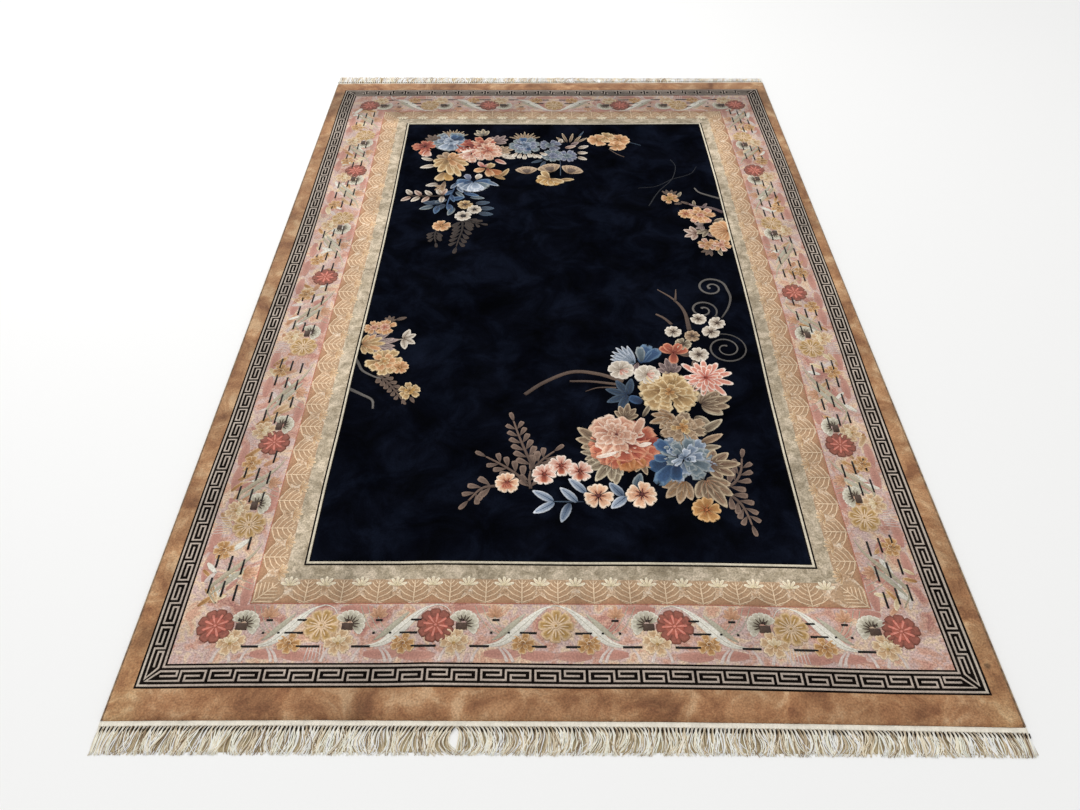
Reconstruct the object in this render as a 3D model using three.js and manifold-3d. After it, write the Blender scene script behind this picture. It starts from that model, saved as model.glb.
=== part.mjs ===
// A fringed silk pile rug, lying flat. Millimetres, +Z up.
// The floor is z = 0, and the middle of the laid rug is above the origin.
// The warp runs along Y, so the two fringes are at the -Y and +Y ends.

import * as THREE from 'three';
import { mergeVertices } from 'three/addons/utils/BufferGeometryUtils.js';
import Module from 'manifold-3d';

// Sizes of the rug as it was made, before the laying pulls it out of square.
const RUG_WIDTH = 1830;
const RUG_LENGTH = 2745;
const FOUNDATION = 3;
const PILE_TOP = 8;
const PILE_SHOULDER = 6.6;
const SHOULDER_INSET = 0.6;
const TOP_INSET = 2.2;

// The overcast cord down each long side, and the gap between neighbours.
const SELVEDGE_WIDTH = 5;
const SELVEDGE_HEIGHT = 5;
const SEAM_GAP = 0.3;

// The bare woven end band, called the web here, and the knotted warp ends.
const WEB_WIDTH = 13;
const WEB_HEIGHT = 2.6;
const WEB_CHAMFER = 0.8;
const FRINGE_REACH = 1436;
const LOCKS_PER_END = 110;
const LOCK_ROOT_DEPTH = 4;
const LOCK_SEGMENTS = 3;
const TRIM_UNEVENNESS = 2;

// How far the laid rug is out of square, in mm at its corners.
const SIDE_SKEW = 1.5;
const END_SKEW = 4.5;
const END_SKEW_GROWTH = 8.5;
const SIDE_BOW = 1.5;

// How high the pile stands above or below its mean, in long shallow ripples.
const RIPPLE = 0.5;
const RIPPLES_ACROSS = 2.5;
const RIPPLES_ALONG = 4.2;

// Sections along a lock, from its root in the web to its cut tip.
const LOCK_SECTIONS = [
  { along: 0.00, halfWidth: 5.2, height: 2.3 },
  { along: 0.34, halfWidth: 6.2, height: 3.6 },
  { along: 0.68, halfWidth: 6.2, height: 3.2 },
  { along: 1.00, halfWidth: 5.2, height: 2.0 },
];

// How far to the right the locks lie of their roots, halfway down and at the tips.
// The stations run from left to right, seen by someone standing at that end of the rug.
const FRINGE_LIE = [
  { at: -915, middle: 0, tip: 0 },
  { at: -860, middle: -6, tip: -9 },
  { at: -730, middle: -9, tip: -16 },
  { at: -610, middle: -10, tip: -14 },
  { at: -520, middle: 0, tip: -4 },
  { at: -440, middle: -6, tip: -12 },
  { at: -350, middle: -7, tip: -8 },
  { at: -270, middle: -8, tip: -10 },
  { at: -160, middle: 8, tip: 0 },
  { at: -50, middle: 6, tip: -4 },
  { at: 60, middle: 6, tip: -7 },
  { at: 150, middle: 5, tip: -8 },
  { at: 250, middle: -5, tip: -8 },
  { at: 350, middle: -2, tip: 0 },
  { at: 470, middle: 6, tip: 0 },
  { at: 560, middle: 2, tip: -3 },
  { at: 630, middle: 5, tip: -7 },
  { at: 700, middle: -2, tip: -5 },
  { at: 770, middle: 6, tip: 7 },
  { at: 850, middle: 8, tip: 9 },
  { at: 915, middle: 0, tip: 0 },
];

// Places where the fringe parts and the floor shows between the locks.
const PARTING_SPREAD = 45;
const PARTINGS = [
  { at: -350, halfWidth: 4 },
  { at: -215, halfWidth: 11 },
  { at: 533, halfWidth: 4 },
];

const SLAB_CELLS = { across: 18, along: 28, up: 3 };
const SELVEDGE_STEPS = 28;
const SELVEDGE_SIDES = 8;

const PALETTE = {
  pile: 0x1b2233,
  selvedge: 0x8f7a5c,
  fringe: 0xe6dfc8,
};

const wasm = await Module();
wasm.setup();

// Where a point of the rug as made lies on the floor.
function lay(point) {
  const across = point.x / (RUG_WIDTH / 2);
  const along = point.y / (RUG_LENGTH / 2);
  const bow = SIDE_BOW * across * (1 - along * along);
  const shiftX = -SIDE_SKEW * along - bow;
  const shiftY = across * (END_SKEW + END_SKEW_GROWTH * along);
  return new THREE.Vector3(point.x + shiftX, point.y + shiftY, point.z);
}

// Moves every vertex of a geometry and merges the shared ones into one closed skin.
function reshape(geometry, place) {
  const positions = geometry.attributes.position;
  const vertex = new THREE.Vector3();
  for (let i = 0; i < positions.count; i += 1) {
    vertex.fromBufferAttribute(positions, i);
    const moved = place(vertex);
    positions.setXYZ(i, moved.x, moved.y, moved.z);
  }
  geometry.deleteAttribute('normal');
  geometry.deleteAttribute('uv');
  return mergeVertices(geometry, 1e-4);
}

function ripple(x, y) {
  const wavesAcross = Math.sin((2 * Math.PI * RIPPLES_ACROSS * x) / RUG_WIDTH + 0.8);
  const wavesAlong = Math.sin((2 * Math.PI * RIPPLES_ALONG * y) / RUG_LENGTH + x / RUG_WIDTH);
  return RIPPLE * wavesAcross * wavesAlong;
}

// The cloth: foundation and pile in one slab, flat below, its pile rounded at the rim.
function pileGeometry() {
  const halfWidth = RUG_WIDTH / 2 - SELVEDGE_WIDTH - SEAM_GAP;
  const halfLength = RUG_LENGTH / 2;
  const rows = [
    { z: 0, inset: 0 },
    { z: FOUNDATION, inset: 0 },
    { z: PILE_SHOULDER, inset: SHOULDER_INSET },
    { z: PILE_TOP, inset: TOP_INSET },
  ];
  const { across, along, up } = SLAB_CELLS;
  const block = new THREE.BoxGeometry(2, 2, up, across, along, up);
  return reshape(block, (vertex) => {
    const level = Math.round(vertex.z + up / 2);
    const row = rows[level];
    const x = vertex.x * (halfWidth - row.inset);
    const y = vertex.y * (halfLength - row.inset);
    const z = level === up ? row.z + ripple(x, y) : row.z;
    return lay(new THREE.Vector3(x, y, z));
  });
}

// The overcast edge: a thick cord of binding yarn along one long side.
function selvedgeGeometry(side) {
  const centre = RUG_WIDTH / 2 - SELVEDGE_WIDTH / 2;
  const cord = new THREE.CylinderGeometry(0.5, 0.5, RUG_LENGTH, SELVEDGE_SIDES, SELVEDGE_STEPS);
  cord.rotateY(Math.PI / SELVEDGE_SIDES);
  const flatToFlat = Math.cos(Math.PI / SELVEDGE_SIDES);
  return reshape(cord, (vertex) => {
    const x = side * centre + (vertex.x / flatToFlat) * SELVEDGE_WIDTH;
    const z = SELVEDGE_HEIGHT / 2 + (vertex.z / flatToFlat) * SELVEDGE_HEIGHT;
    return lay(new THREE.Vector3(x, vertex.y, z));
  });
}

function toManifold(geometry) {
  return new wasm.Manifold(new wasm.Mesh({
    numProp: 3,
    vertProperties: Float32Array.from(geometry.attributes.position.array),
    triVerts: Uint32Array.from(geometry.index.array),
  }));
}

function fromManifold(solid) {
  const mesh = solid.getMesh();
  const geometry = new THREE.BufferGeometry();
  geometry.setAttribute('position', new THREE.Float32BufferAttribute(mesh.vertProperties, 3));
  geometry.setIndex(Array.from(mesh.triVerts));
  return geometry;
}

// Sideways lie of a lock, part of the way along it, seen from its own end of the rug.
function sway(rootX, along) {
  const next = FRINGE_LIE.findIndex((station) => station.at >= rootX);
  const right = FRINGE_LIE[Math.max(next, 1)];
  const left = FRINGE_LIE[Math.max(next, 1) - 1];
  const share = (rootX - left.at) / (right.at - left.at);
  const middle = THREE.MathUtils.lerp(left.middle, right.middle, share);
  const tip = THREE.MathUtils.lerp(left.tip, right.tip, share);
  const curve = tip * along * (2 * along - 1) + middle * 4 * along * (1 - along);
  return PARTINGS.reduce((sum, parting) => {
    const away = rootX - parting.at;
    const reach = Math.exp(-Math.abs(away) / PARTING_SPREAD);
    return sum + Math.sign(away) * parting.halfWidth * reach * Math.sin(Math.PI * along);
  }, curve);
}

function lockSection(along) {
  const last = LOCK_SECTIONS.length - 1;
  const index = Math.max(0, Math.min(last, Math.round(along * last)));
  return LOCK_SECTIONS[index];
}

// A lock of warp ends: a flat-bottomed ridge of three sides, lying on the floor.
function lockGeometry(rootX, rootY, end, reach) {
  const ridge = new THREE.CylinderGeometry(1, 1, 1, 3, LOCK_SEGMENTS);
  const cornerX = Math.sin((2 * Math.PI) / 3);
  return reshape(ridge, (vertex) => {
    const step = 0.5 - vertex.y;
    const section = lockSection(step);
    const rooted = section.along === 0 ? -LOCK_ROOT_DEPTH : section.along * reach;
    const rise = (vertex.z + 0.5) / 1.5;
    const lie = sway(rootX * -end, section.along);
    const sideways = (vertex.x / cornerX) * section.halfWidth + lie;
    const x = rootX - sideways * end;
    const y = rootY + rooted * end;
    return lay(new THREE.Vector3(x, y, rise * section.height));
  });
}

// One end finish: the flat woven web and the locks that grow out of it.
function fringeGeometry(end) {
  const webNear = RUG_LENGTH / 2 + SEAM_GAP;
  const webFar = webNear + WEB_WIDTH;
  const section = new THREE.Shape();
  section.moveTo(0, 0);
  section.lineTo(WEB_WIDTH, 0);
  section.lineTo(WEB_WIDTH, WEB_HEIGHT);
  section.lineTo(WEB_CHAMFER, WEB_HEIGHT);
  section.lineTo(0, WEB_HEIGHT - WEB_CHAMFER);
  section.closePath();
  const strip = new THREE.ExtrudeGeometry(section, { depth: RUG_WIDTH, bevelEnabled: false });
  const web = reshape(strip, (vertex) => {
    const x = (vertex.z - RUG_WIDTH / 2) * end;
    const y = (webNear + vertex.x) * end;
    return lay(new THREE.Vector3(x, y, vertex.y));
  });
  const pitch = RUG_WIDTH / LOCKS_PER_END;
  let solid = toManifold(web);
  for (let i = 0; i < LOCKS_PER_END; i += 1) {
    const rootX = -RUG_WIDTH / 2 + (i + 0.5) * pitch;
    const cornerSkew = (rootX / (RUG_WIDTH / 2)) * (END_SKEW + END_SKEW_GROWTH * end) * end;
    const trim = TRIM_UNEVENNESS * Math.abs(Math.sin(1.7 * i));
    const reach = FRINGE_REACH - webFar - cornerSkew - trim;
    solid = solid.add(toManifold(lockGeometry(rootX, webFar * end, end, reach)));
  }
  return fromManifold(solid);
}

function cloth(name, geometry, color, roughness) {
  const material = new THREE.MeshStandardMaterial({ color, roughness, metalness: 0 });
  const mesh = new THREE.Mesh(geometry, material);
  mesh.name = name;
  return mesh;
}

const rug = new THREE.Group();
rug.add(cloth('rug_pile', pileGeometry(), PALETTE.pile, 0.7));
rug.add(cloth('selvedge_left', selvedgeGeometry(-1), PALETTE.selvedge, 0.8));
rug.add(cloth('selvedge_right', selvedgeGeometry(1), PALETTE.selvedge, 0.8));
rug.add(cloth('fringe_front', fringeGeometry(-1), PALETTE.fringe, 0.85));
rug.add(cloth('fringe_back', fringeGeometry(1), PALETTE.fringe, 0.85));

export default rug;
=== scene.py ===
# %% [markdown]
# # A silk pile rug on a pale floor
# The real rug is knotted on a loom from dyed silk, sheared short, and then carved: the
# weaver clips a small groove round every petal, so that each motif stands a little proud of
# the ground. Here the cloth is one closed slab, and every motif is a low closed relief that is
# sunk into it. That way the pattern has the crisp clipped edges of the real thing from any
# side, with no picture laid on the rug. All sizes below are in millimetres of the rug as it
# was made, and one map lays them on the floor in metres.

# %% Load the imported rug
import math
import random

import bpy
import numpy as np
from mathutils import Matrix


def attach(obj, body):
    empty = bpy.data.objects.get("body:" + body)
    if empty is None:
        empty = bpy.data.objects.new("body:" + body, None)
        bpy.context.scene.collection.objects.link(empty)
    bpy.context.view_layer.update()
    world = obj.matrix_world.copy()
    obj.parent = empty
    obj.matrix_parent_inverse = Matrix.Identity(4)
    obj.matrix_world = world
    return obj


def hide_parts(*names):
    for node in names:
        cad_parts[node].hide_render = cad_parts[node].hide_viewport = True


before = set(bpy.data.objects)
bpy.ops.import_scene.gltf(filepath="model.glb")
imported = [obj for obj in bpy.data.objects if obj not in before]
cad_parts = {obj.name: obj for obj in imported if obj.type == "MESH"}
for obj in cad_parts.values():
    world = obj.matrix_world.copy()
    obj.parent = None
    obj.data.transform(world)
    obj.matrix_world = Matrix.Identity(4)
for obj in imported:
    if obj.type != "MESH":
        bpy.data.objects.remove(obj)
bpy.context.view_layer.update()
print("CAD nodes:", ", ".join(sorted(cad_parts)))

# %% [markdown]
# ## Camera, light and floor
# The photo was taken by hand from standing height at the front end of the rug, with a phone's
# usual lens. The light is a plain soft studio: a bright even sky, and one large lamp over the
# back left, which gives the silk its sheen and the carved edges their small shadows. The
# Standard view keeps the dyes as they are picked.

# %% Set the camera, the light and the floor
scene = bpy.context.scene
scene.view_settings.view_transform = "Standard"
SENSOR_WIDTH = 36.0
FOCAL_PIXELS = 802.05
FRAME_PIXELS = 1080
CAMERA_PLACE = (-0.0454, -1.9884, 1.5930)
CAMERA_TURN = (42.860, -0.128, 0.114)
LAMP_PLACE = (-1.6, 2.4, 3.2)
LAMP_TURN = (-37, -26, 0)
LAMP_WATTS = 60.0
SKY_STRENGTH = 0.8
FLOOR_SIZE = 16.0


def deselect_all():
    """Nothing stays selected, so that the next operator touches only what it should."""
    if bpy.context.object and bpy.context.object.mode != "OBJECT":
        bpy.ops.object.mode_set(mode="OBJECT")
    bpy.ops.object.select_all(action="DESELECT")


deselect_all()
bpy.ops.object.camera_add(location=CAMERA_PLACE)
camera = bpy.context.object
camera.name = "camera"
camera.rotation_euler = [math.radians(turn) for turn in CAMERA_TURN]
camera.data.sensor_width = SENSOR_WIDTH
camera.data.lens = FOCAL_PIXELS / FRAME_PIXELS * SENSOR_WIDTH
scene.camera = camera

bpy.ops.object.light_add(type="AREA", location=LAMP_PLACE)
lamp = bpy.context.object
lamp.name = "soft_box"
lamp.data.shape = "RECTANGLE"
lamp.data.size = 3.0
lamp.data.size_y = 2.0
lamp.data.energy = LAMP_WATTS
lamp.rotation_euler = [math.radians(turn) for turn in LAMP_TURN]

sky = bpy.data.worlds.new("studio_sky")
sky.use_nodes = True
background = sky.node_tree.nodes["Background"]
background.inputs["Color"].default_value = (1.0, 1.0, 1.0, 1.0)
background.inputs["Strength"].default_value = SKY_STRENGTH
scene.world = sky

deselect_all()
bpy.ops.mesh.primitive_plane_add(size=FLOOR_SIZE, location=(0, 0, 0))
floor = bpy.context.object
floor.name = "floor"
print("lens", round(camera.data.lens, 2), "mm")

# %% [markdown]
# ## Dyes and nodes
# Dyes are written as sRGB hex values, as a dyer's colour card would be matched on a screen,
# and one function turns them to the linear numbers that shaders need. A second small function
# adds a node with its settings and its links, so that each material below reads as a recipe.


# %% Helpers for colours and nodes
def linear(hex_colour):
    """The linear red, green and blue of an sRGB hex colour."""
    channels = [int(hex_colour[i:i + 2], 16) / 255 for i in (1, 3, 5)]
    return [c / 12.92 if c <= 0.04045 else ((c + 0.055) / 1.055) ** 2.4 for c in channels]


def add_node(tree, kind, settings, inputs):
    """Adds a node, with its settings, and its sockets set to a value or linked."""
    node = tree.nodes.new(kind)
    for name, value in settings.items():
        setattr(node, name, value)
    for socket, value in inputs.items():
        if isinstance(value, bpy.types.NodeSocket):
            tree.links.new(value, node.inputs[socket])
        else:
            node.inputs[socket].default_value = value
    return node


def new_material(name):
    """A material with an empty node tree and its output."""
    material = bpy.data.materials.new(name)
    material.use_nodes = True
    tree = material.node_tree
    tree.nodes.clear()
    return material, tree, tree.nodes.new("ShaderNodeOutputMaterial")


# %% The floor's paint
STIPPLE = 0.004
paint, tree, output = new_material("matt_white_paint")
place = add_node(tree, "ShaderNodeTexCoord", {}, {})
# Roller stipple, about 4 mm across.
stipple = add_node(tree, "ShaderNodeTexNoise", {}, {
    "Vector": place.outputs["Object"], "Scale": 1 / STIPPLE, "Detail": 3.0})
bump = add_node(tree, "ShaderNodeBump", {}, {
    "Height": stipple.outputs["Fac"], "Strength": 0.05, "Distance": 0.001})
shader = add_node(tree, "ShaderNodeBsdfPrincipled", {}, {
    "Base Color": (*linear("#FBFBFA"), 1), "Roughness": 0.9, "Normal": bump.outputs["Normal"]})
tree.links.new(shader.outputs["BSDF"], output.inputs["Surface"])
floor.data.materials.append(paint)

# %% [markdown]
# ## Silk pile
# Dyed silk, knotted and sheared to an even nap. Silk gives the eye three things: a grain of
# single knots, long soft patches where the nap leans to or from the light, which are painted
# here as sheen in the dye, and faint bands across the rug where a new batch of dyed yarn began.
# The knots are about 2 mm apart, which is finer than a pixel here, so the grain is drawn at
# 4 mm. Each motif carries its dyes in an attribute of its own mesh. The grounds mix two to five
# dyes in soft blotches, and an attribute of the cloth makes them lighter or darker from place
# to place, with painted shade and painted sheen in it.


# %% A recipe for silk pile
KNOT_GRAIN = 0.004
# The size of the nap's patches, which are painted sheen in the dye.
NAP_SHEEN_PATCH = 0.16
YARN_BATCH = 0.05


def silk_pile(name, dyes, blotch=0.03, grain=0.32, painted_nap_sheen=0.3, sheen=0.06, shine=0.2,
              stain=None):
    """Sheared silk. Dyes are hex colours that mix in blotches, or None to read the motif's.
    A stain is the place of one small dark spot."""
    material, tree, output = new_material(name)
    place = add_node(tree, "ShaderNodeTexCoord", {}, {})
    spot = place.outputs["Object"]
    if dyes:
        soft = add_node(tree, "ShaderNodeTexNoise", {}, {
            "Vector": spot, "Scale": 1 / blotch, "Detail": 5.0, "Roughness": 0.65,
            "Distortion": 0.6})
        ramp = add_node(tree, "ShaderNodeValToRGB", {}, {"Fac": soft.outputs["Fac"]})
        stops = ramp.color_ramp.elements
        for i, dye in enumerate(dyes):
            position = 0.36 + 0.28 * i / max(len(dyes) - 1, 1)
            stop = stops[i] if i < 2 else stops.new(position)
            stop.position = position
            stop.color = (*linear(dye), 1)
        # The cloth's tone, with its painted shade and sheen, makes the blotches lighter or darker.
        tone_and_sheen = add_node(tree, "ShaderNodeAttribute", {"attribute_name": "tone_and_sheen"}, {})
        colour = add_node(tree, "ShaderNodeVectorMath", {"operation": "MULTIPLY"}, {
            0: ramp.outputs["Color"], 1: tone_and_sheen.outputs["Color"]}).outputs["Vector"]
    else:
        # A motif's attribute holds its dyes, with painted shade in its grooves and the cloth's painted
        # shade and sheen.
        dyed = add_node(tree, "ShaderNodeAttribute", {"attribute_name": "dye"}, {})
        colour = dyed.outputs["Color"]
    # Knots, nap sheen and yarn batches: where each is drawn, its size, the noise's detail,
    # roughness and distortion, how far from the middle it is cut off, and how much it shades the
    # dye. The nap's patches are painted sheen, lighter and darker in the dye.
    across = add_node(tree, "ShaderNodeMapping", {}, {
        "Vector": spot, "Scale": (0.08, 1.0, 1.0)}).outputs["Vector"]
    layers = [(spot, KNOT_GRAIN, 2.0, 0.7, 0.0, 0.25, grain),
              (spot, NAP_SHEEN_PATCH, 4.0, 0.62, 0.8, 0.2, painted_nap_sheen),
              (across, YARN_BATCH, 2.0, 0.5, 0.0, 0.2, 0.07)]
    noises, factors = [], []
    for vector, size, detail, roughness, distortion, reach, amount in layers:
        noise = add_node(tree, "ShaderNodeTexNoise", {}, {
            "Vector": vector, "Scale": 1 / size, "Detail": detail, "Roughness": roughness,
            "Distortion": distortion})
        factor = add_node(tree, "ShaderNodeMapRange", {}, {
            "Value": noise.outputs["Fac"], "From Min": 0.5 - reach, "From Max": 0.5 + reach,
            "To Min": 1 - amount, "To Max": 1 + amount})
        noises.append(noise)
        factors.append(factor)
    if stain:
        away = add_node(tree, "ShaderNodeVectorMath", {"operation": "DISTANCE"}, {
            0: spot, 1: stain})
        factors.append(add_node(tree, "ShaderNodeMapRange", {}, {
            "Value": away.outputs["Value"], "From Min": 0.004, "From Max": 0.009,
            "To Min": 0.45, "To Max": 1.0}))
    shade = factors[0].outputs["Result"]
    for factor in factors[1:]:
        shade = add_node(tree, "ShaderNodeMath", {"operation": "MULTIPLY"}, {
            0: shade, 1: factor.outputs["Result"]}).outputs["Value"]
    shaded = add_node(tree, "ShaderNodeHueSaturation", {}, {"Value": shade, "Color": colour})
    bump = add_node(tree, "ShaderNodeBump", {}, {
        "Height": noises[0].outputs["Fac"], "Strength": 0.35, "Distance": 0.0008})
    shader = add_node(tree, "ShaderNodeBsdfPrincipled", {}, {
        "Base Color": shaded.outputs["Color"], "Roughness": 0.62,
        "Specular IOR Level": shine, "Sheen Weight": sheen, "Sheen Roughness": 0.45,
        "Normal": bump.outputs["Normal"]})
    tree.links.new(shader.outputs["BSDF"], output.inputs["Surface"])
    return material


dyed_silk = silk_pile("dyed_silk_pile", None, painted_nap_sheen=0.18, grain=0.3)
GROUNDS = [
    silk_pile("plain_gold_silk_pile", ["#7E5438", "#966A48", "#A67C58", "#BC9874"], 0.08,
              grain=0.4, painted_nap_sheen=0.24, stain=(0.884, -1.252, 0.008)),
    silk_pile("black_silk_pile", ["#100D0C", "#1C1614"], 0.02, sheen=0.0, shine=0.0),
    silk_pile("rose_silk_pile", ["#AC7A6E", "#C49A86", "#C2A8A2", "#D6BCA0", "#C89C84"], 0.06,
              grain=0.5, painted_nap_sheen=0.16),
    silk_pile("tan_silk_pile", ["#A08062", "#C0A284", "#D6C4AE"], 0.014,
              grain=0.5, painted_nap_sheen=0.2),
    silk_pile("grey_beige_silk_pile", ["#8F816A", "#AB9D86", "#CABAA3"], 0.024,
              grain=0.45, painted_nap_sheen=0.2),
    silk_pile("black_guard_silk_pile", ["#100D0C", "#1C1614"], 0.02, sheen=0.0, shine=0.0),
    silk_pile("navy_silk_pile", ["#06070B", "#090B13", "#0F131E"], 0.12, painted_nap_sheen=0.4, grain=0.25,
              sheen=0.0, shine=0.0),
]
print("grounds:", len(GROUNDS))

# %% [markdown]
# ## How the rug lies
# A hand-made rug is never quite square. The ends run a little askew and the long sides bow in,
# by the same map as in the CAD. Three things are added here. The front end is drawn in by up to
# 6 mm between its corners. The pattern's lines wander by a few millimetres, as read from the
# photo at a few stations along each side, and less towards the rug's edge. And the pile is
# lighter or darker in some parts of the rug: painted shade over the bands along the back, a
# painted golden sheen on the plain border of the long sides, strongest towards the front, and
# paler long sides of the tree band and the zone inside it.

# %% Sizes of the rug and the map that lays it on the floor
HALF_WIDTH = 915.0
HALF_LENGTH = 1372.5
SLAB_HALF_WIDTH = 909.7
PILE_TOP = 8.0
SIDE_SKEW = 1.5
SIDE_BOW = 1.5
END_SKEW = 4.5
END_SKEW_GROWTH = 8.5
RIPPLE = 0.5
RIPPLES_ACROSS = 2.5
RIPPLES_ALONG = 4.2

# Where the pattern's outermost lines run, and how near the edge their wandering fades out.
DRIFT_HALF_WIDTH, DRIFT_HALF_LENGTH = 816, 1255
CALM_SIDE, CALM_END = 55, 70

DRIFT_LEFT = [(-1280, 0), (-1080, 1.2), (-790, 2), (-590, -1.5), (-390, -1), (-100, -4),
              (200, -7.5), (490, -6), (690, -3), (890, -1.5), (1130, 3), (1280, 0)]
DRIFT_RIGHT = [(-1280, -7), (-1080, -9.5), (-690, -9), (-490, -5.7), (-300, 1), (-150, 4.7),
               (0, 6.6), (300, 7), (600, 10.5), (800, 9.3), (1080, 5), (1280, 3)]
DRIFT_FRONT = [(-840, 0.3), (-680, -2.9), (-360, -5.6), (-280, -7.9), (-120, -7.1),
               (40, -5.8), (200, -6.8), (360, -5.4), (520, -2.1), (680, 1.7), (840, 2.7)]
DRIFT_BACK = [(-840, -1.2), (-520, 1), (-200, -2), (200, -6), (520, -4), (840, -3)]
FRONT_BOW = [(-915, 0), (-780, 2), (-500, 5), (0, 6), (200, 6.3), (480, 4.5), (780, 1.5),
             (915, 0)]
FRONT_SHARE = [(-1436, 0.25), (-1389, 1), (-1372, 1), (-1309, 0)]
# Painted shade over the bands along the back, and a painted golden sheen on the plain border of the long
# sides, strongest at the front.
SHADE_ALONG_BACK = [(1010, 1.0), (1060, 0.84), (1115, 0.7), (1128, 0.62), (1285, 0.62),
              (1315, 1.06)]
SHEEN_ALONG_SIDE = [(-1372, 1.25), (-1100, 1.08), (200, 1.1)]
SIDE_FADE = [(825, 0), (870, 1)]
FLANK = [(215, 0), (240, 1), (338, 1), (346, 0)]
CORNER_FADE = [(0, 0), (80, 1)]
LEFT_PALE = 0.27
RIGHT_PALE = [(-300, 0.04), (600, 0.24)]


def read_table(table, at):
    """The value of a table of (station, value), between its stations."""
    stations, values = zip(*table)
    return np.interp(at, stations, values)


def drifted(x, y):
    """Where the weaver's hand put a point of the pattern, in mm."""
    right = (np.clip(x / DRIFT_HALF_WIDTH, -1, 1) + 1) / 2
    back = (np.clip(y / DRIFT_HALF_LENGTH, -1, 1) + 1) / 2
    calm_x = np.clip((HALF_WIDTH - np.abs(x)) / CALM_SIDE, 0, 1)
    calm_y = np.clip((HALF_LENGTH - np.abs(y)) / CALM_END, 0, 1)
    shift_x = read_table(DRIFT_RIGHT, y) * right - read_table(DRIFT_LEFT, y) * (1 - right)
    shift_y = read_table(DRIFT_BACK, x) * back - read_table(DRIFT_FRONT, x) * (1 - back)
    return x + shift_x * calm_x, y + shift_y * calm_y


def laid(x, y):
    """Where a point of the rug as made lies on the floor, in mm."""
    across = x / HALF_WIDTH
    along = y / HALF_LENGTH
    bow = SIDE_BOW * across * (1 - along ** 2)
    drawn_in = read_table(FRONT_BOW, x) * read_table(FRONT_SHARE, y)
    askew = across * (END_SKEW + END_SKEW_GROWTH * along)
    return x - SIDE_SKEW * along - bow, y + askew + drawn_in


def tone_and_sheen_at(x, y):
    """How much lighter or darker the pile of a place is, with painted shade and sheen in it: red, green
    and blue for each point.
    """
    # Painted shade over the bands along the back.
    shade_at_back = read_table(SHADE_ALONG_BACK, y)
    # A painted golden sheen on the plain border of the long sides, strongest at the front.
    at_side = 1 + (read_table(SHEEN_ALONG_SIDE, y) - 1) * read_table(SIDE_FADE, np.abs(x))
    golden = 1 + (at_side - 1)[:, None] * np.array([0.0, 0.3, 0.2])
    # The tree band and the zone inside it are paler along the long sides, most at the left.
    inset_x, inset_y = HALF_WIDTH - np.abs(x), HALF_LENGTH - np.abs(y)
    at_flank = read_table(CORNER_FADE, inset_y - inset_x) * read_table(FLANK, inset_x)
    pale = 1 + at_flank * np.where(x < 0, LEFT_PALE, read_table(RIGHT_PALE, y))
    return (shade_at_back * at_side * pale)[:, None] * golden


def pile_height(x, y):
    """The sheared pile's height above the floor, in mm, with its long shallow ripples."""
    share_x, share_y = x / (2 * HALF_WIDTH), y / (2 * HALF_LENGTH)
    waves_across = np.sin(2 * math.pi * RIPPLES_ACROSS * share_x + 0.8)
    waves_along = np.sin(2 * math.pi * RIPPLES_ALONG * share_y + share_x)
    return PILE_TOP + RIPPLE * waves_across * waves_along


def on_rug(points):
    """Pattern points (x, y, height above the pile) in mm, as points in the scene in metres."""
    x, y = drifted(points[:, 0], points[:, 1])
    height = pile_height(x, y) + points[:, 2]
    floor_x, floor_y = laid(x, y)
    return np.stack([floor_x, floor_y, height], axis=1) / 1000


# %% [markdown]
# ## The nested bands
# From the edge to the middle: a plain gold border, the black key band, the rose border, a
# tan band of little trees, a grey-beige zone, a black and cream guard, and the navy field.
# Each band's edge is an inset from the rug's edge, and the four sides differ by a few
# millimetres, as they do on the real rug.

# %% Insets of the bands and the lines between them
SIDES = ("left", "right", "front", "back")
INSETS = {
    "key_outer": (45.0, 40.6, 63.7, 62.5),
    "key_inner": (98.6, 95.0, 116.7, 116.5),
    "rose_inner": (237.0, 228.0, 254.0, 253.0),
    "tan_inner": (299.0, 287.0, 315.0, 314.0),
    "guard_outer": (335.8, 321.5, 350.8, 349.0),
    "field": (347.9, 334.2, 363.2, 361.5),
}


def inset_box(name, extra=0.0):
    """The four lines of a band's edge: left x, right x, front y, back y."""
    left, right, front, back = (inset + extra for inset in INSETS[name])
    return -HALF_WIDTH + left, HALF_WIDTH - right, -HALF_LENGTH + front, HALF_LENGTH - back


def filled(marks, step):
    """Sorted marks with even points between them, no further apart than step."""
    marks = sorted(marks)
    points = [marks[0]]
    for low, high in zip(marks, marks[1:]):
        count = max(1, math.ceil((high - low) / step))
        points += [low + (high - low) * (i + 1) / count for i in range(count)]
    return np.array(points)


boxes = np.array([inset_box(name) for name in INSETS])
left, right, front, back = boxes[-1]
print("field is", round(right - left), "by", round(back - front), "mm")

# %% [markdown]
# ## The cloth
# Foundation and pile are one cloth 8 mm thick. It starts as a flat grid whose lines fall on
# the edges of the bands, so each band's faces can have their own dye. Its rim is extruded
# down in three steps, which round the clipped edge of the pile, and closed underneath. Each
# vertex carries its tone, with painted shade and painted sheen in it.


# %% Model the cloth
def vertices_of(mesh):
    """A mesh's vertices as an array of x, y, z."""
    flat = np.empty(len(mesh.vertices) * 3)
    mesh.vertices.foreach_get("co", flat)
    return flat.reshape(-1, 3)


def set_colours(mesh, name, colours):
    """Gives each vertex of a mesh its colour, as an attribute."""
    attribute = mesh.attributes.new(name, "FLOAT_COLOR", "POINT")
    opaque = np.c_[colours, np.ones(len(colours))]
    attribute.data.foreach_set("color", opaque.astype(np.float32).ravel())


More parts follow.
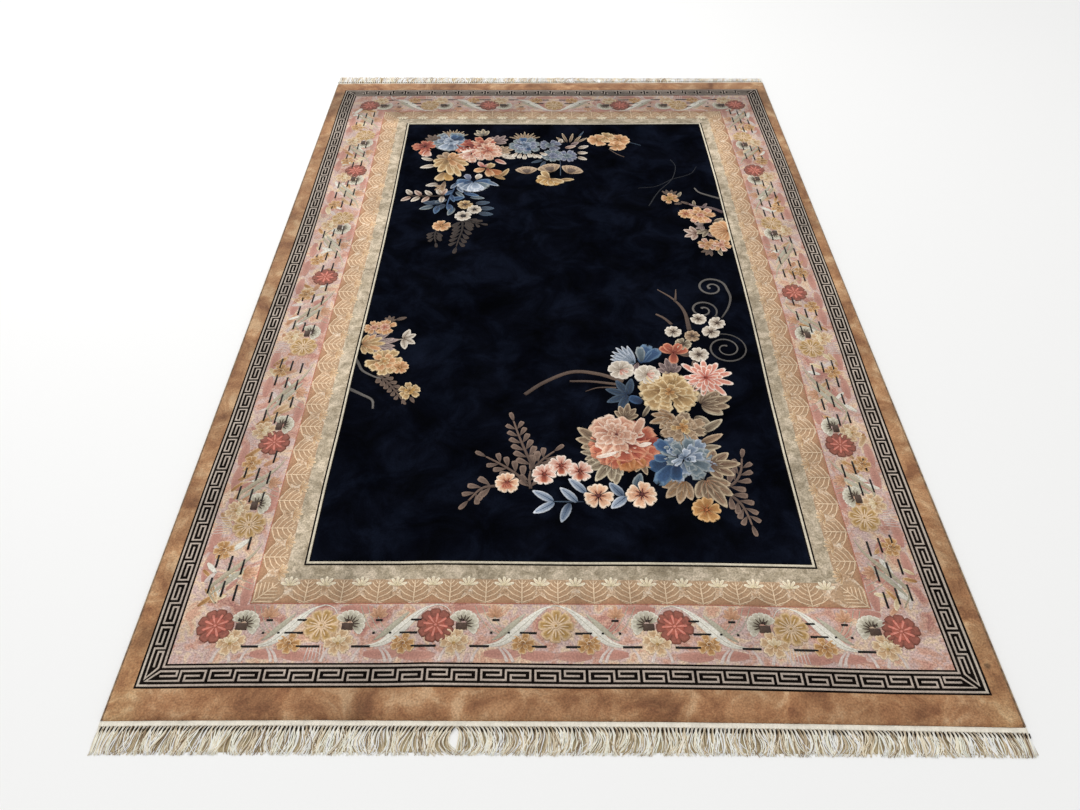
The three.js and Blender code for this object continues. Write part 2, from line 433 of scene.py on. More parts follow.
def face_outward():
    """Turns all faces of the form in hand outward and leaves Edit mode."""
    bpy.ops.mesh.select_all(action="SELECT")
    bpy.ops.mesh.normals_make_consistent(inside=False)
    bpy.ops.object.mode_set(mode="OBJECT")


def finish_piece(name, material, node):
    """Names the active object, ties it to the rug and hides the CAD node it stands for."""
    piece = bpy.context.object
    piece.name = name
    piece.data.name = name
    piece.data.materials.append(material)
    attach(piece, "root")
    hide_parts(node)
    return piece


# Height above the floor and inset of the rim, from its top to its foot.
RIM = [(PILE_TOP, 2.2), (6.6, 0.6), (3.0, 0.0), (0.0, 0.0)]
GRID_STEP = 16
top_inset = RIM[0][1]
columns = filled([-SLAB_HALF_WIDTH + top_inset, *boxes[:, 0], *boxes[:, 1],
                  SLAB_HALF_WIDTH - top_inset], GRID_STEP)
rows = filled([-HALF_LENGTH + top_inset, *boxes[:, 2], *boxes[:, 3],
               HALF_LENGTH - top_inset], GRID_STEP)

deselect_all()
bpy.ops.mesh.primitive_grid_add(
    x_subdivisions=len(columns) - 1, y_subdivisions=len(rows) - 1, size=2)
bpy.ops.object.mode_set(mode="EDIT")
for step in RIM[1:]:
    bpy.ops.mesh.select_all(action="DESELECT")
    bpy.ops.mesh.select_non_manifold()
    bpy.ops.mesh.extrude_edges_move(TRANSFORM_OT_translate={"value": (0, 0, -1)})
bpy.ops.mesh.edge_face_add()
face_outward()

cloth = finish_piece("rug_pile_silk", GROUNDS[0], "rug_pile")
for ground in GROUNDS[1:]:
    cloth.data.materials.append(ground)

grid = vertices_of(cloth.data)
last_column, last_row = len(columns) - 1, len(rows) - 1
column = np.rint((grid[:, 0] + 1) / 2 * last_column).astype(int)
row = np.rint((grid[:, 1] + 1) / 2 * last_row).astype(int)
level = np.rint(-grid[:, 2]).astype(int)
rim = np.array(RIM)
outward = top_inset - rim[level, 1]
at_side, at_end = column % last_column == 0, row % last_row == 0
x = columns[column] + np.sign(columns[column]) * at_side * outward
y = rows[row] + np.sign(rows[row]) * at_end * outward

# The shears leave the pile a little ragged where it meets the bare webs.
ragged = 1.7 + 1.1 * np.sin(x / 13) + 0.6 * np.sin(x / 29 + 1)
y = y - np.sign(y) * (at_end & (level < 2)) * ragged

for face in cloth.data.polygons:
    corner = np.mean(np.stack([x, y], axis=1)[list(face.vertices)], axis=0)
    inside = (boxes[:, 0] < corner[0]) & (corner[0] < boxes[:, 1])
    inside &= (boxes[:, 2] < corner[1]) & (corner[1] < boxes[:, 3])
    face.material_index = int(inside.sum()) if len(face.vertices) == 4 else 0
    face.use_smooth = True

# Each vertex takes its tone, with the painted shade along the back and the painted sheen along the
# sides.
set_colours(cloth.data, "tone_and_sheen", tone_and_sheen_at(x, y))
places = on_rug(np.stack([x, y, np.zeros(len(x))], axis=1))
places[:, 2] = np.where(level == 0, places[:, 2], rim[level, 0] / 1000)
cloth.data.vertices.foreach_set("co", places.ravel())
cloth.data.update()
print("cloth:", len(cloth.data.polygons), "faces,", len(columns), "by", len(rows), "lines")

# %% [markdown]
# ## One petal, and everything drawn with it
# Nearly every motif is made of petals: flowers, leaves, fern leaflets, even the crowns of the
# little trees. So one petal is modelled by hand, a closed pillow whose rim lies below the
# ground, and each petal on the rug is a copy of it, bent and dyed on its way. Stems, key
# lines and dashes are the second form: a closed strip with bevelled sides and mitred corners.

# %% Model the petal
# How deep a motif's foot lies in the ground, and how dark the line up a petal's middle is.
SINK = -0.35
VEIN = 0.9

deselect_all()
bpy.ops.mesh.primitive_grid_add(x_subdivisions=6, y_subdivisions=7, size=2)
form = bpy.context.object
bpy.ops.object.mode_set(mode="EDIT")
bpy.ops.mesh.select_all(action="DESELECT")
bpy.ops.mesh.select_non_manifold()
bpy.ops.mesh.edge_face_add()
bpy.ops.mesh.select_all(action="DESELECT")
bpy.ops.mesh.select_mode(type="VERT")
bpy.ops.object.mode_set(mode="OBJECT")
for vertex in form.data.vertices:
    vertex.select = max(abs(vertex.co.x), abs(vertex.co.y)) < 0.99
bpy.ops.object.mode_set(mode="EDIT")
bpy.ops.transform.translate(value=(0, 0, 1))
face_outward()

petal_form = vertices_of(form.data)
petal_faces = [tuple(face.vertices) for face in form.data.polygons]
bpy.data.objects.remove(form)
# Its columns and rows crowd towards the rim, where the clipped groove curves down.
ACROSS = np.sin(petal_form[:, 0] * math.pi / 2)
ALONG = (1 - np.cos((petal_form[:, 1] + 1) * math.pi / 2)) / 2
RAISED = petal_form[:, 2] > 0.5
RIM_SHARE = np.maximum(np.abs(ACROSS) > 0.8, ALONG > 0.93) * 1.0
print("petal:", len(petal_form), "vertices,", len(petal_faces), "faces")

# %% [markdown]
# A dye card: for each kind of petal its dye at the root, at the tip and along the rim.

# %% The dye card
DYES = {name: [np.array(linear(tone)) for tone in tones.split()] for name, tones in {
    "brick": "#86493D #9B5E4F #794739", "brick_heart": "#AC604E #AC604E #9C5044",
    "pink_vein": "#DC9484 #D4806F #C2705F", "gold": "#98743F #B08C56 #CDAE80",
    "peach_line": "#DFC4A4 #DFC4A4 #C8A884", "cream_gold": "#A67E58 #CCAC86 #E4CEAE",
    "cream": "#C0A67E #DCC9A6 #EADBC0", "grey_cream": "#968E78 #CCC5B2 #E0DACA",
    "umber": "#4A3830 #564438 #3E2E26", "rust": "#AC7C5A #C4967A #D4AE90",
    "ribbon": "#D8D2C4 #E8E4D8 #CCC6B8", "ribbon_fold": "#A8A28E #B8B29E #989280",
    "lilac": "#C6B4AC #D6C8BE #C8B8AE", "pink_patch": "#B48072 #BE8C7C #BC9284",
    "bud_gold": "#96683A #BC8F5C #DDBE98", "crown": "#A88668 #B29272 #AE9072",
    "earth": "#A47A5C #AC8666 #B49474", "black": "#120E0D #120E0D #120E0D",
    "key_beige": "#B4A598 #B4A598 #968878", "guard_cream": "#D0C6B0 #D0C6B0 #B0A690",
    "red_line": "#AE6C58 #AE6C58 #AE6C58", "wave": "#A8A793 #B5B4A0 #A8A793",
    "tuft_cream": "#D8C6A0 #EADCC0 #F2E8D2", "dahlia": "#A84C40 #DC9A84 #F4E4D6",
    "bloom_pink": "#C4765F #EEC9B5 #F8EADC", "bloom_peach": "#B97450 #E8C09E #F4DFC8",
    "coral": "#743024 #B45E46 #DA9878", "coral_deep": "#5A1E18 #8E3A2C #B05C48",
    "blush": "#9A5E48 #D4A68C #EED4C0", "blush_edge": "#E4CBB8 #F2E6D8 #F6ECDF",
    "orange": "#84401C #B06C3C #CA8E60", "steel": "#36444E #6A7880 #9AA0A0",
    "blue": "#1A3454 #3A587E #66829C", "pale_blue": "#3A4A60 #788698 #AEB6C0",
    "deep_blue": "#12223E #264262 #3E5C80", "white_blue": "#66768A #A6B0BE #D2D6DC",
    "slate": "#1C283A #344658 #4C5E70", "sand": "#68503A #A08468 #C6AE92",
    "amber": "#86562A #BC8A52 #DAB07C", "honey": "#765430 #BC9A6A #E2CAA0",
    "honey_deep": "#62462A #98784C #BA9A6C", "olive_cream": "#584A3A #988870 #D0C2A8",
    "tan_leaf": "#54402F #907860 #CAB698", "bark": "#4A3B33 #665346 #766254",
    "fern": "#52423A #755F52 #8A7466", "fern_dark": "#1E1613 #32261F #40342C",
    "tendril": "#4A4642 #6A6560 #7A746E", "plum_white": "#8A7866 #D2C6B4 #EAE0D2",
    "rose_tip": "#A05448 #D0A08C #EDD4C4", "shell": "#8E5240 #CE987E #E8C6AC",
    "mauve": "#4E3C3E #84706E #B49E96", "lavender": "#424A60 #6C7286 #9C9EAA",
    "apricot": "#8E5A30 #CC986A #E4C29A", "night_twig": "#0A0E16 #0E1420 #0B1019",
    "sprig_pink": "#84604F #C8AC9A #E2D0C2", "side_ribbon": "#A89C84 #BEB29A #A89E88",
    "heart": "#5A2A28 #6A3430 #5A2A28", "ochre": "#825E2C #B88C4E #D0A86C",
}.items()}
print("dyes:", len(DYES))


# %% Helpers that bend, dye and place the forms
def together(motifs):
    """Several motifs as one: their points, faces and dyes."""
    starts = np.cumsum([0] + [len(points) for points, faces, dyes in motifs])
    points = np.concatenate([motif[0] for motif in motifs])
    faces = [tuple(v + start for v in face)
             for start, motif in zip(starts, motifs) for face in motif[1]]
    return points, faces, np.concatenate([motif[2] for motif in motifs])


def moved(motif, x, y, turn=0.0, size=1.0, mirrored=False):
    """A copy of a motif, mirrored left to right if asked, then sized, turned and moved."""
    points, faces, dyes = motif
    flip = -1.0 if mirrored else 1.0
    angle = math.radians(turn)
    local_x = points[:, 0] * flip * size
    local_y = points[:, 1] * size
    placed = np.stack([x + local_x * math.cos(angle) - local_y * math.sin(angle),
                       y + local_x * math.sin(angle) + local_y * math.cos(angle),
                       points[:, 2]], axis=1)
    return placed, [face[::-1] for face in faces] if mirrored else faces, dyes


def petal(x, y, turn, length, width, dye, lift, base=0.8, tip=0.45, frill=0.0, bend=0.0,
          notch=0.0):
    """One petal that grows from x, y towards turn. Base and tip: 0.5 is round, 1 is pointed."""
    root_dye, tip_dye, rim_dye = DYES[dye]
    widest = base / (base + tip)
    swell = ALONG ** base * (1 - ALONG) ** tip / (widest ** base * (1 - widest) ** tip)
    ripple = 1 + frill * np.sin(ALONG * 17 + length) * np.abs(ACROSS)
    side = ACROSS * width / 2 * np.maximum(swell, 0.04) * ripple
    reach = length * (ALONG - notch * (1 - np.abs(ACROSS)) ** 2 * ALONG ** 4)
    reach = reach + length * frill * 0.5 * np.cos(ACROSS * 7 + width) * ALONG ** 3
    centre = bend * length * ALONG ** 2
    slope = 2 * bend * ALONG
    steep = np.sqrt(1 + slope ** 2)
    along = reach - side * slope / steep
    across = centre + side / steep
    angle = math.radians(turn)
    crease = 0.82 + 0.18 * np.abs(ACROSS)
    height = np.where(RAISED, lift * crease, SINK)
    points = np.stack([x + along * math.cos(angle) - across * math.sin(angle),
                       y + along * math.sin(angle) + across * math.cos(angle), height], axis=1)
    share = np.clip(ALONG * 1.2 - 0.08, 0, 1)[:, None]
    dyes = root_dye + (tip_dye - root_dye) * share
    edge = (RIM_SHARE * np.clip(ALONG * 2, 0.2, 1))[:, None]
    dyes = dyes + (rim_dye - dyes) * edge
    dyes = dyes * np.where((np.abs(ACROSS) < 0.01) & (ALONG < 0.9), VEIN, 1.0)[:, None]
    # The sunk rim is dyed half as bright: painted shade in the clipped groove round the petal.
    dyes = dyes * np.where(RAISED, 1.0, 0.5)[:, None]
    return points, petal_faces, dyes


def strip(path, width, dye, lift, closed=False):
    """A raised line along a path, with bevelled sides and mitred corners."""
    path = np.array(path, float)
    half = np.broadcast_to(np.array(width, float) / 2, len(path))[:, None]
    ahead = np.roll(path, -1, axis=0) - path
    if not closed:
        ahead[-1] = ahead[-2]
    ahead /= np.linalg.norm(ahead, axis=1)[:, None]
    behind = np.roll(ahead, 1, axis=0)
    if not closed:
        behind[0] = ahead[0]
    left_ahead = np.stack([-ahead[:, 1], ahead[:, 0]], axis=1)
    left_behind = np.stack([-behind[:, 1], behind[:, 0]], axis=1)
    sharing = 1 + np.sum(left_ahead * left_behind, axis=1)[:, None]
    mitre = (left_ahead + left_behind) / np.maximum(sharing, 0.4)
    inner = np.maximum(half - 0.7, half * 0.55)
    count = len(path)
    points = np.empty((count, 4, 3))
    for corner, (offset, height) in enumerate(
            ((half, SINK), (inner, lift), (-inner, lift), (-half, SINK))):
        points[:, corner, :2] = path + mitre * offset
        points[:, corner, 2] = height
    faces = []
    for i in range(count if closed else count - 1):
        here, there = 4 * i, 4 * ((i + 1) % count)
        for k in range(4):
            after = (k + 1) % 4
            faces.append((here + k, here + after, there + after, there + k))
    if not closed:
        last = 4 * (count - 1)
        faces += [(3, 2, 1, 0), (last, last + 1, last + 2, last + 3)]
    root_dye, tip_dye, rim_dye = DYES[dye]
    share = np.repeat(np.linspace(0, 1, count), 4)[:, None]
    dyes = root_dye + (tip_dye - root_dye) * share
    # The sunk corners take the rim dye, darker by a fifth: painted shade in the clipped groove beside
    # the line.
    shaded_groove = np.tile([1, 0, 0, 1], count)[:, None]
    dyes = dyes + (rim_dye * 0.8 - dyes) * shaded_groove
    return points.reshape(-1, 3), faces, dyes


def smooth_path(stops, step=6.0):
    """A smooth curve through the stops, with points about a step apart."""
    stops = np.array(stops, float)
    ends = np.concatenate([[2 * stops[0] - stops[1]], stops, [2 * stops[-1] - stops[-2]]])
    path = [stops[0]]
    for i in range(len(stops) - 1):
        before, start, stop, after = ends[i:i + 4]
        count = max(2, math.ceil(np.linalg.norm(stop - start) / step))
        for t in np.arange(1, count + 1) / count:
            path.append(0.5 * (2 * start + (stop - before) * t
                               + (2 * before - 5 * start + 4 * stop - after) * t ** 2
                               + (3 * start - before - 3 * stop + after) * t ** 3))
    return np.array(path)


def stem(stops, root_width, tip_width, dye, lift=0.8):
    """A smooth stem whose width runs evenly from its root to its tip."""
    path = smooth_path(stops)
    return strip(path, np.linspace(root_width, tip_width, len(path)), dye, lift)


def add_piece(name, places, faces, dyes, material, node):
    """Adds a piece of the rug from its points on the floor, in metres, and their dyes."""
    mesh = bpy.data.meshes.new(name)
    mesh.from_pydata(places.tolist(), [], faces)
    set_colours(mesh, "dye", dyes)
    mesh.shade_smooth()
    piece = bpy.data.objects.new(name, mesh)
    scene.collection.objects.link(piece)
    bpy.context.view_layer.objects.active = piece
    finish_piece(name, material, node)
    print(name + ":", sum(len(face) - 2 for face in faces), "triangles")
    return piece


def pile_piece(name, motifs):
    """Lays motifs on the rug as one piece of raised pile."""
    points, faces, dyes = together(motifs)
    # Motifs take the same tone, with its painted shade and sheen.
    toned = dyes * tone_and_sheen_at(points[:, 0], points[:, 1])
    return add_piece(name, on_rug(points), faces, toned, dyed_silk, "rug_pile")


pattern = []

# %% [markdown]
# ## Key band
# The key fret is the rug's most regular part: one beige line on black that coils inwards and
# back out in each unit. It is charted as a single path on a small grid. The units run
# from both corners towards the middle of each side, where they turn over, and at the corners
# the line is cut along the diagonal. A beige line runs on each side of the fret.

# %% Draw the key band
FRET_STEP = 10.4
FRET_LINE = 5.0
BAND_LINE = 5.2
UNIT = [(-41, 0), (-10.3, 0), (-10.3, 1), (-50.6, 1), (-50.6, -1), (0, -1),
        (0, 1), (50.6, 1), (50.6, -1), (10.3, -1), (10.3, 0), (41, 0)]
CORNER_UNIT = [(-42, 0), (-8, 0), (-8, 1), (-43.3, 1), (-67, -1), (0, -1),
               (0, 1), (50.6, 1), (50.6, -1), (10.3, -1), (10.3, 0), (41, 0)]
UNIT_PITCH = 111.8
BAND_LINE_INSET = 6.5
FRETS = {"front": (14, 782.7), "back": (14, 782.7), "left": (23, 1221.0), "right": (23, 1221.0)}


def on_side(motif, side, start, share=1.0):
    """Puts a motif, drawn along a side with +y towards the middle, on that side of the rug.
    Start is the inset where the motif's y is 0, and share shortens or lengthens its y."""
    points, faces, dyes = motif
    s, d = points[:, 0], points[:, 1]
    edge = -HALF_LENGTH if side in ("front", "back") else -HALF_WIDTH
    depth = edge + (start + d * share)
    x, y = {"front": (s, depth), "back": (s, -depth),
            "left": (depth, s), "right": (-depth, s)}[side]
    turned_over = side in ("back", "left")
    faces = [face[::-1] for face in faces] if turned_over else faces
    return np.stack([x, y, points[:, 2]], axis=1), faces, dyes


def frame_line(name, extra, width, dye, lift):
    """A closed line all round the rug, beside the edge of a band."""
    left, right, front, back = inset_box(name, extra)
    across, along = filled([left, right], 30), filled([front, back], 30)
    loop = ([(v, front) for v in across[:-1]] + [(right, v) for v in along[:-1]]
            + [(v, back) for v in across[:0:-1]] + [(left, v) for v in along[:0:-1]])
    return strip(loop, width, dye, lift, closed=True)


key_band = []
for side, outer, inner in zip(SIDES, INSETS["key_outer"], INSETS["key_inner"]):
    middle = (outer + inner) / 2
    units, corner = FRETS[side]
    pitch = 2 * corner / units
    squeeze = pitch / UNIT_PITCH
    for i in range(units + 1):
        path = np.array(UNIT, float)
        if i in (0, units):
            path = np.array(CORNER_UNIT, float)
            path[5:, 0] *= squeeze
        else:
            path[:, 0] *= squeeze
        path[:, 1] *= FRET_STEP
        if i > (units - 1) / 2:
            path[:, 0] *= -1
        path[:, 0] += -corner + pitch * i
        line = strip(path, FRET_LINE, "key_beige", 0.8)
        key_band.append(on_side(line, side, middle))
for name, extra in (("key_outer", BAND_LINE_INSET), ("key_inner", -BAND_LINE_INSET)):
    key_band.append(frame_line(name, extra, BAND_LINE, "key_beige", 0.8))
pattern.append(pile_piece("key_band", key_band))

# %% [markdown]
# ## Guard
# A cream line between two black ones frames the field.

# %% Draw the guard
GUARD_LINE = 6.2
guard = frame_line("guard_outer", 7.0, GUARD_LINE, "guard_cream", 1.4)
pattern.append(pile_piece("guard_line", [guard]))

# %% [markdown]
# ## Rose border
# Round flowers, brick red and gold in turn, stand in a row along the rose border. Each has a
# half-open flower, a cream blossom, a bud and a small leaf beside it, and a pale ribbon rises
# from it to the next flower. Short black dashes, like ripples on water, run behind them in
# three rows. Each kind is drawn once, at its own middle, and copied. The posies turn over at
# the middle of each side.


# %% Draw the flowers of the rose border once
weaver = random.Random(7)


def ring(count, start, length, width, dye, lift, turn=0.0, uneven=0.05, **form):
    """Petals round a middle, as even as a hand makes them. Dyes joined by & come by turns."""
    motifs = []
    dyes = dye.split("&")
    for i in range(count):
        angle = turn + 360 * (i + weaver.uniform(-uneven, uneven)) / count
        reach = length * (1 + weaver.uniform(-uneven, uneven) / 2)
        x, y = start * math.cos(math.radians(angle)), start * math.sin(math.radians(angle))
        motifs.append(petal(x, y, angle, reach, width, dyes[i % len(dyes)],
                            lift + 0.14 * (i % 2), **form))
    return motifs


def disc(x, y, radius, dye, lift):
    """A round spot of raised pile."""
    return petal(x - radius, y, 0, 2 * radius, 2 * radius, dye, lift, base=0.5, tip=0.5)


red_flower = together(
    ring(9, 6, 35, 25, "brick", 1.1, base=0.8, tip=0.3)
    + [disc(0, 0, 22, "brick_heart", 1.5)]
    + ring(8, 4, 25, 6.5, "pink_vein", 1.8, turn=22, base=0.9, tip=0.35)
    + [disc(0, 0, 3.5, "pink_vein", 2.2)])

gold_flower = together(
    ring(8, 3, 37, 27, "peach_line", 1.0, turn=22, base=0.9, tip=0.3)
    + ring(8, 8, 29, 19, "gold", 1.4, turn=22, base=0.9, tip=0.3)
    + ring(8, 4, 25, 3.5, "peach_line", 1.8, turn=22)
    + [disc(0, 0, 7, "peach_line", 2.0), disc(0, 0, 3.5, "gold", 2.4)])

FAN = np.linspace(-34, 144, 8)
BETWEEN = (FAN[:-1] + FAN[1:]) / 2
half_flower = together(
    [petal(8 * math.cos(math.radians(a)), 8 * math.sin(math.radians(a)), a, 27, 16,
           "grey_cream", 1.0 + 0.15 * (i % 2), base=0.9, tip=0.3) for i, a in enumerate(FAN)]
    + [petal(7 * math.cos(math.radians(a)), 7 * math.sin(math.radians(a)), a, 16, 3.4,
             "umber", 1.6, base=0.5, tip=0.9) for a in BETWEEN]
    + [strip([(-16, -5), (8, -5)], 17, "umber", 1.5)])

blossom_cream = together(
    ring(6, 3, 29, 24, "cream_gold", 1.0, turn=12, base=0.8, tip=0.35, notch=0.14)
    + ring(6, 2, 18, 12, "cream_gold", 1.4, turn=40, base=0.8, tip=0.4)
    + [petal(0, -6, a, 21, 11, "cream", 1.8 + 0.1 * i, base=0.8, tip=0.5)
       for i, a in enumerate((132, 48, 90))]
    + [disc(0, -5, 4, "gold", 2.3)])

bud_gold = together(
    ring(6, 4, 22, 19, "bud_gold", 1.0, turn=18, uneven=0.2, base=0.8, tip=0.35, notch=0.08)
    + ring(4, 1, 14, 11, "bud_gold", 1.5, turn=50, uneven=0.2, base=0.7, tip=0.4)
    + [stem([(-7, 3), (-2, 7), (4, 4), (3, -2)], 2.6, 2, "peach_line", 1.9)])

rust_leaf = together([
    petal(0, -12, a, 30 - abs(a - 90) / 8, 12, "rust", 0.9 + 0.1 * i, base=0.6, tip=0.6)
    for i, a in enumerate((20, 160, 55, 125, 90))])

pink_patch = petal(-42, 0, 0, 84, 27, "pink_patch", 0.12, base=0.5, tip=0.5, frill=0.1)
print("red flower:", len(red_flower[1]), "faces; gold flower:", len(gold_flower[1]), "faces")

# %% Place the flowers, posies, ribbons and dashes
FLOWER_LINE = 85.0
# Where the flowers stand along each side, and the dashes of each row beside them.
STATIONS = {
    "front": (-740, -512, -266, -6, 250, 500, 736),
    "back": (-746, -500, -256, 10, 280, 520, 756),
    "left": (-1168, -910, -654, -290, 34, 360, 666, 926, 1174),
    "right": (-1174, -880, -654, -290, -40, 330, 666, 910, 1190),
}
DASHES = {
    37: ((-42, 4), (0.29, 0.45), (0.80, 0.92)),
    68: ((-76, -38), (0.455, 0.475), (0.60, 0.615), (0.70, 0.84)),
    98: ((-54, -31), (0.47, 0.53), (0.20, 0.24)),
}
BORDER_WIDTH = 138.0
SIDE_LEAVES = 20


def dash_ends(ends, gap):
    """A dash's ends: whole numbers are millimetres from the flower, shares are of the gap."""
    return [value if abs(value) >= 2 else value * gap for value in ends]


def ribbon(gap, on_end):
    """A pale ribbon that widens and thins again on its way up to the next flower."""
    stops = [(0.36, 38), (0.46, 39), (0.56, 47), (0.66, 68), (0.76, 94), (0.84, 114),
             (0.91, 127), (0.98, 133)]
    if not on_end:
        stops = [(0.20, 60), (0.33, 38), (0.46, 62), (0.58, 92), (0.68, 114), (0.80, 128)]
    path = smooth_path([(share * gap, d) for share, d in stops])
    swell = np.sin(np.linspace(0.1, math.pi - 0.1, len(path)))
    broad = strip(path, 3 + (20 if on_end else 10) * swell ** 2,
                  "ribbon" if on_end else "side_ribbon", 0.9)
    crease = strip(path[3:-3], 1.6, "ribbon_fold", 1.1)
    part = path[len(path) // 4:3 * len(path) // 4]
    thin = np.sin(np.linspace(0.1, math.pi - 0.1, len(part)))
    fold = strip(part + [-17, 7], 1.5 + 13 * thin, "ribbon_fold", 0.6)
    tail = stem([(share * gap, d) for share, d in
                 ((0.97, 133), (1.02, 134), (1.09, 127), (1.13, 113))], 3.4, 1.8, "ribbon", 1.0)
    return [broad, crease, fold, tail] if on_end else [broad, crease, fold]


def posy(gap, is_gold, on_end, at_corner):
    """All that stands between one flower and the next, with +x towards the side's middle."""
    buds = [moved(half_flower, 60, 88), moved(blossom_cream, 42, 48),
            moved(bud_gold, 0.73 * gap, 43), moved(rust_leaf, 0.49 * gap, 118)]
    if at_corner and not on_end:
        buds = buds[2:]
    trail = ribbon(gap, on_end)
    trail += [moved(pink_patch, 0.56 * gap, 20), moved(pink_patch, 0.86 * gap, 16),
              moved(pink_patch, 0.30 * gap, 124)]
    for start in (0.32, 0.38, 0.44):
        trail.append(stem([(start * gap, 132), ((start + 0.05) * gap, 104),
                           ((start + 0.12) * gap, 78), ((start + 0.22) * gap, 62)],
                          2.2, 1.8, "wave", 0.5))
    if is_gold:
        trail += [strip([(s, 4), (s * 0.8, 40)], 3.0, "lilac", 0.45)
                  for s in (-24, -16, -8, 0, 8, 16, 24)]
    if on_end:
        # Pale waves run down to the key band from the foot of the ribbon.
        for top, foot in ((0.37, 0.31), (0.53, 0.60), (0.56, 0.65), (0.10, 0.05), (0.15, 0.22)):
            trail.append(stem([(top * gap, 34), ((top * 0.4 + foot * 0.6) * gap, 20),
                               (foot * gap, 2)], 5, 8, "lilac", 0.4))
    else:
        # On the long sides the ground is a crowd of small leaves, cream, gold and rose.
        for _ in range(SIDE_LEAVES):
            dye = weaver.choice(("cream_gold", "ribbon", "bud_gold", "rust", "cream",
                                 "pink_patch", "lilac"))
            length = weaver.uniform(26, 58)
            trail.append(petal(weaver.uniform(30, gap - 30), weaver.uniform(8, 126 - length),
                               weaver.choice((34, 60, 140)) + weaver.uniform(-20, 20),
                               length, length * weaver.uniform(0.28, 0.4), dye,
                               weaver.uniform(0.3, 0.6), base=0.6, tip=0.6, frill=0.12))
    for row, spans in DASHES.items():
        if not on_end:
            # On the long sides the dashes follow one another closely.
            spans = [(at, at + 40) for at in np.arange(50 + (row * 0.7) % 31, gap - 60, 66)]
        for ends in spans:
            start, stop = dash_ends(ends, gap)
            if at_corner and start < 0:
                continue
            trail.append(strip([(start, row), (max(stop, start + 5), row)], 5.6, "black", 1.2))
    return buds, trail


flowers, buds, trails = [], [], []
for side, outer, inner in zip(SIDES, INSETS["key_inner"], INSETS["rose_inner"]):
    scale = (inner - outer) / BORDER_WIDTH
    stations = STATIONS[side]
    middle = len(stations) // 2
    on_end = side in ("front", "back")
    for i, station in enumerate(stations):
        is_gold = i % 2 == 1
        at_corner = i in (0, len(stations) - 1)
        flower = gold_flower if is_gold else red_flower
        if on_end or not at_corner:
            turned = moved(flower, station, FLOWER_LINE, turn=7 * i)
            flowers.append(on_side(turned, side, outer, scale))
        if i == middle:
            continue
        onward = 1 if i < middle else -1
        gap = abs(stations[i + onward] - station)
        for kind, motifs in zip((buds, trails), posy(gap, is_gold, on_end, at_corner)):
            for motif in motifs:
                placed = moved(motif, station, 0, mirrored=onward < 0)
                kind.append(on_side(placed, side, outer, scale))
pattern.append(pile_piece("rose_border_flowers", flowers))
pattern.append(pile_piece("rose_border_buds", buds))
pattern.append(pile_piece("rose_border_ribbons", trails))

# %% [markdown]
# ## Tan band of little trees
# A row of rounded trees, 80 mm apart, grows from the rose border inwards: a light trunk with
# five pairs of branches on a darker crown, earth between their feet and a cream tuft between
# their tops. At each corner one tree stands on the diagonal.

# %% Draw the tree band
TREE_PITCH = 80.0
TREE_HEIGHT = 61.0
TREES = {"front": 15, "back": 15, "left": 26, "right": 26}
# How high each pair of branches leaves the trunk, how far it reaches and how high it ends.
BRANCHES = [(3, 40, 23), (14, 33, 36), (26, 25, 46), (38, 16, 53), (48, 8, 57)]
CORNER_BRANCHES = [(7, 30), (19, 27), (31, 22), (43, 16), (55, 9)]


def tree():
    """One little tree with its root at the origin, growing up."""
    motifs = [petal(0, 2, 90, 60, 68, "crown", 0.3, base=0.5, tip=0.42),
              strip([(0, 0), (0, 28), (0, 58)], 3.8, "peach_line", 1.3)]
    for fork, reach, top in BRANCHES:
        for hand in (-1, 1):
            knee = (hand * reach * 0.62, fork + (top - fork) * 0.45)
            motifs.append(strip([(0, fork), knee, (hand * reach, top)], 3.4, "peach_line", 1.1))
    return together(motifs)


def tuft(dye):
    """The earth between two trees and the cream tuft between their tops."""
    return together([
        strip([(0, 0.5), (0, 20)], [64, 3], "earth", 0.45),
        *[petal(0, 44, a, 24, 7.5, dye, 1.0 + 0.1 * i, base=1.1, tip=0.5)
          for i, a in enumerate((20, 160, 55, 125, 90))]])


def corner_tree():
    """The tree on a corner's diagonal, whose branches run alongside the two sides."""
    motifs = [petal(0, 3, 90, 76, 70, "crown", 0.3, base=0.9, tip=0.42),
              strip([(0, 2), (0, 40), (0, 74)], 3.8, "peach_line", 1.3)]
    for fork, reach in CORNER_BRANCHES:
        for hand in (-1, 1):
            motifs.append(strip([(0, fork), (hand * reach, fork + reach)], 3.6,
                                "peach_line", 1.1))
    return together(motifs)


trees = []
for side, outer, inner in zip(SIDES, INSETS["rose_inner"], INSETS["tan_inner"]):
    scale = (inner - outer) / TREE_HEIGHT
    between = tuft("tuft_cream" if side in ("front", "back") else "cream_gold")
    for i in range(TREES[side]):
        at = (i - (TREES[side] - 1) / 2) * TREE_PITCH
        row = [moved(tree(), at, 0), moved(between, at + TREE_PITCH / 2, 0)]
        if i == 0:
            row.append(moved(between, at - TREE_PITCH / 2, 0))
        trees += [on_side(motif, side, outer, scale) for motif in row]

left, right, front, back = inset_box("rose_inner")
for x, y, turn in ((left, front, -45), (right, front, 45), (right, back, 135),
                   (left, back, -135)):
    trees.append(moved(corner_tree(), x, y, turn))
trees.append(frame_line("rose_inner", 0, 2.6, "red_line", 0.6))
pattern.append(pile_piece("tree_band", trees))

# %% [markdown]
# ## Flower sprays of the field
# Four sprays grow over the dark field: a large one from the front right corner, a large one
# that hangs from the back left corner, and a small one on each long side. They are built from
# a few kinds that any flower carpet has, such as peonies, plum blossom, leaves, ferns and
# curled tendrils, each made by one function from petals and stems.


# %% Kinds of flowers and leaves
LEAFLET_ANGLE = 52.0
CURL_POINTS = 30


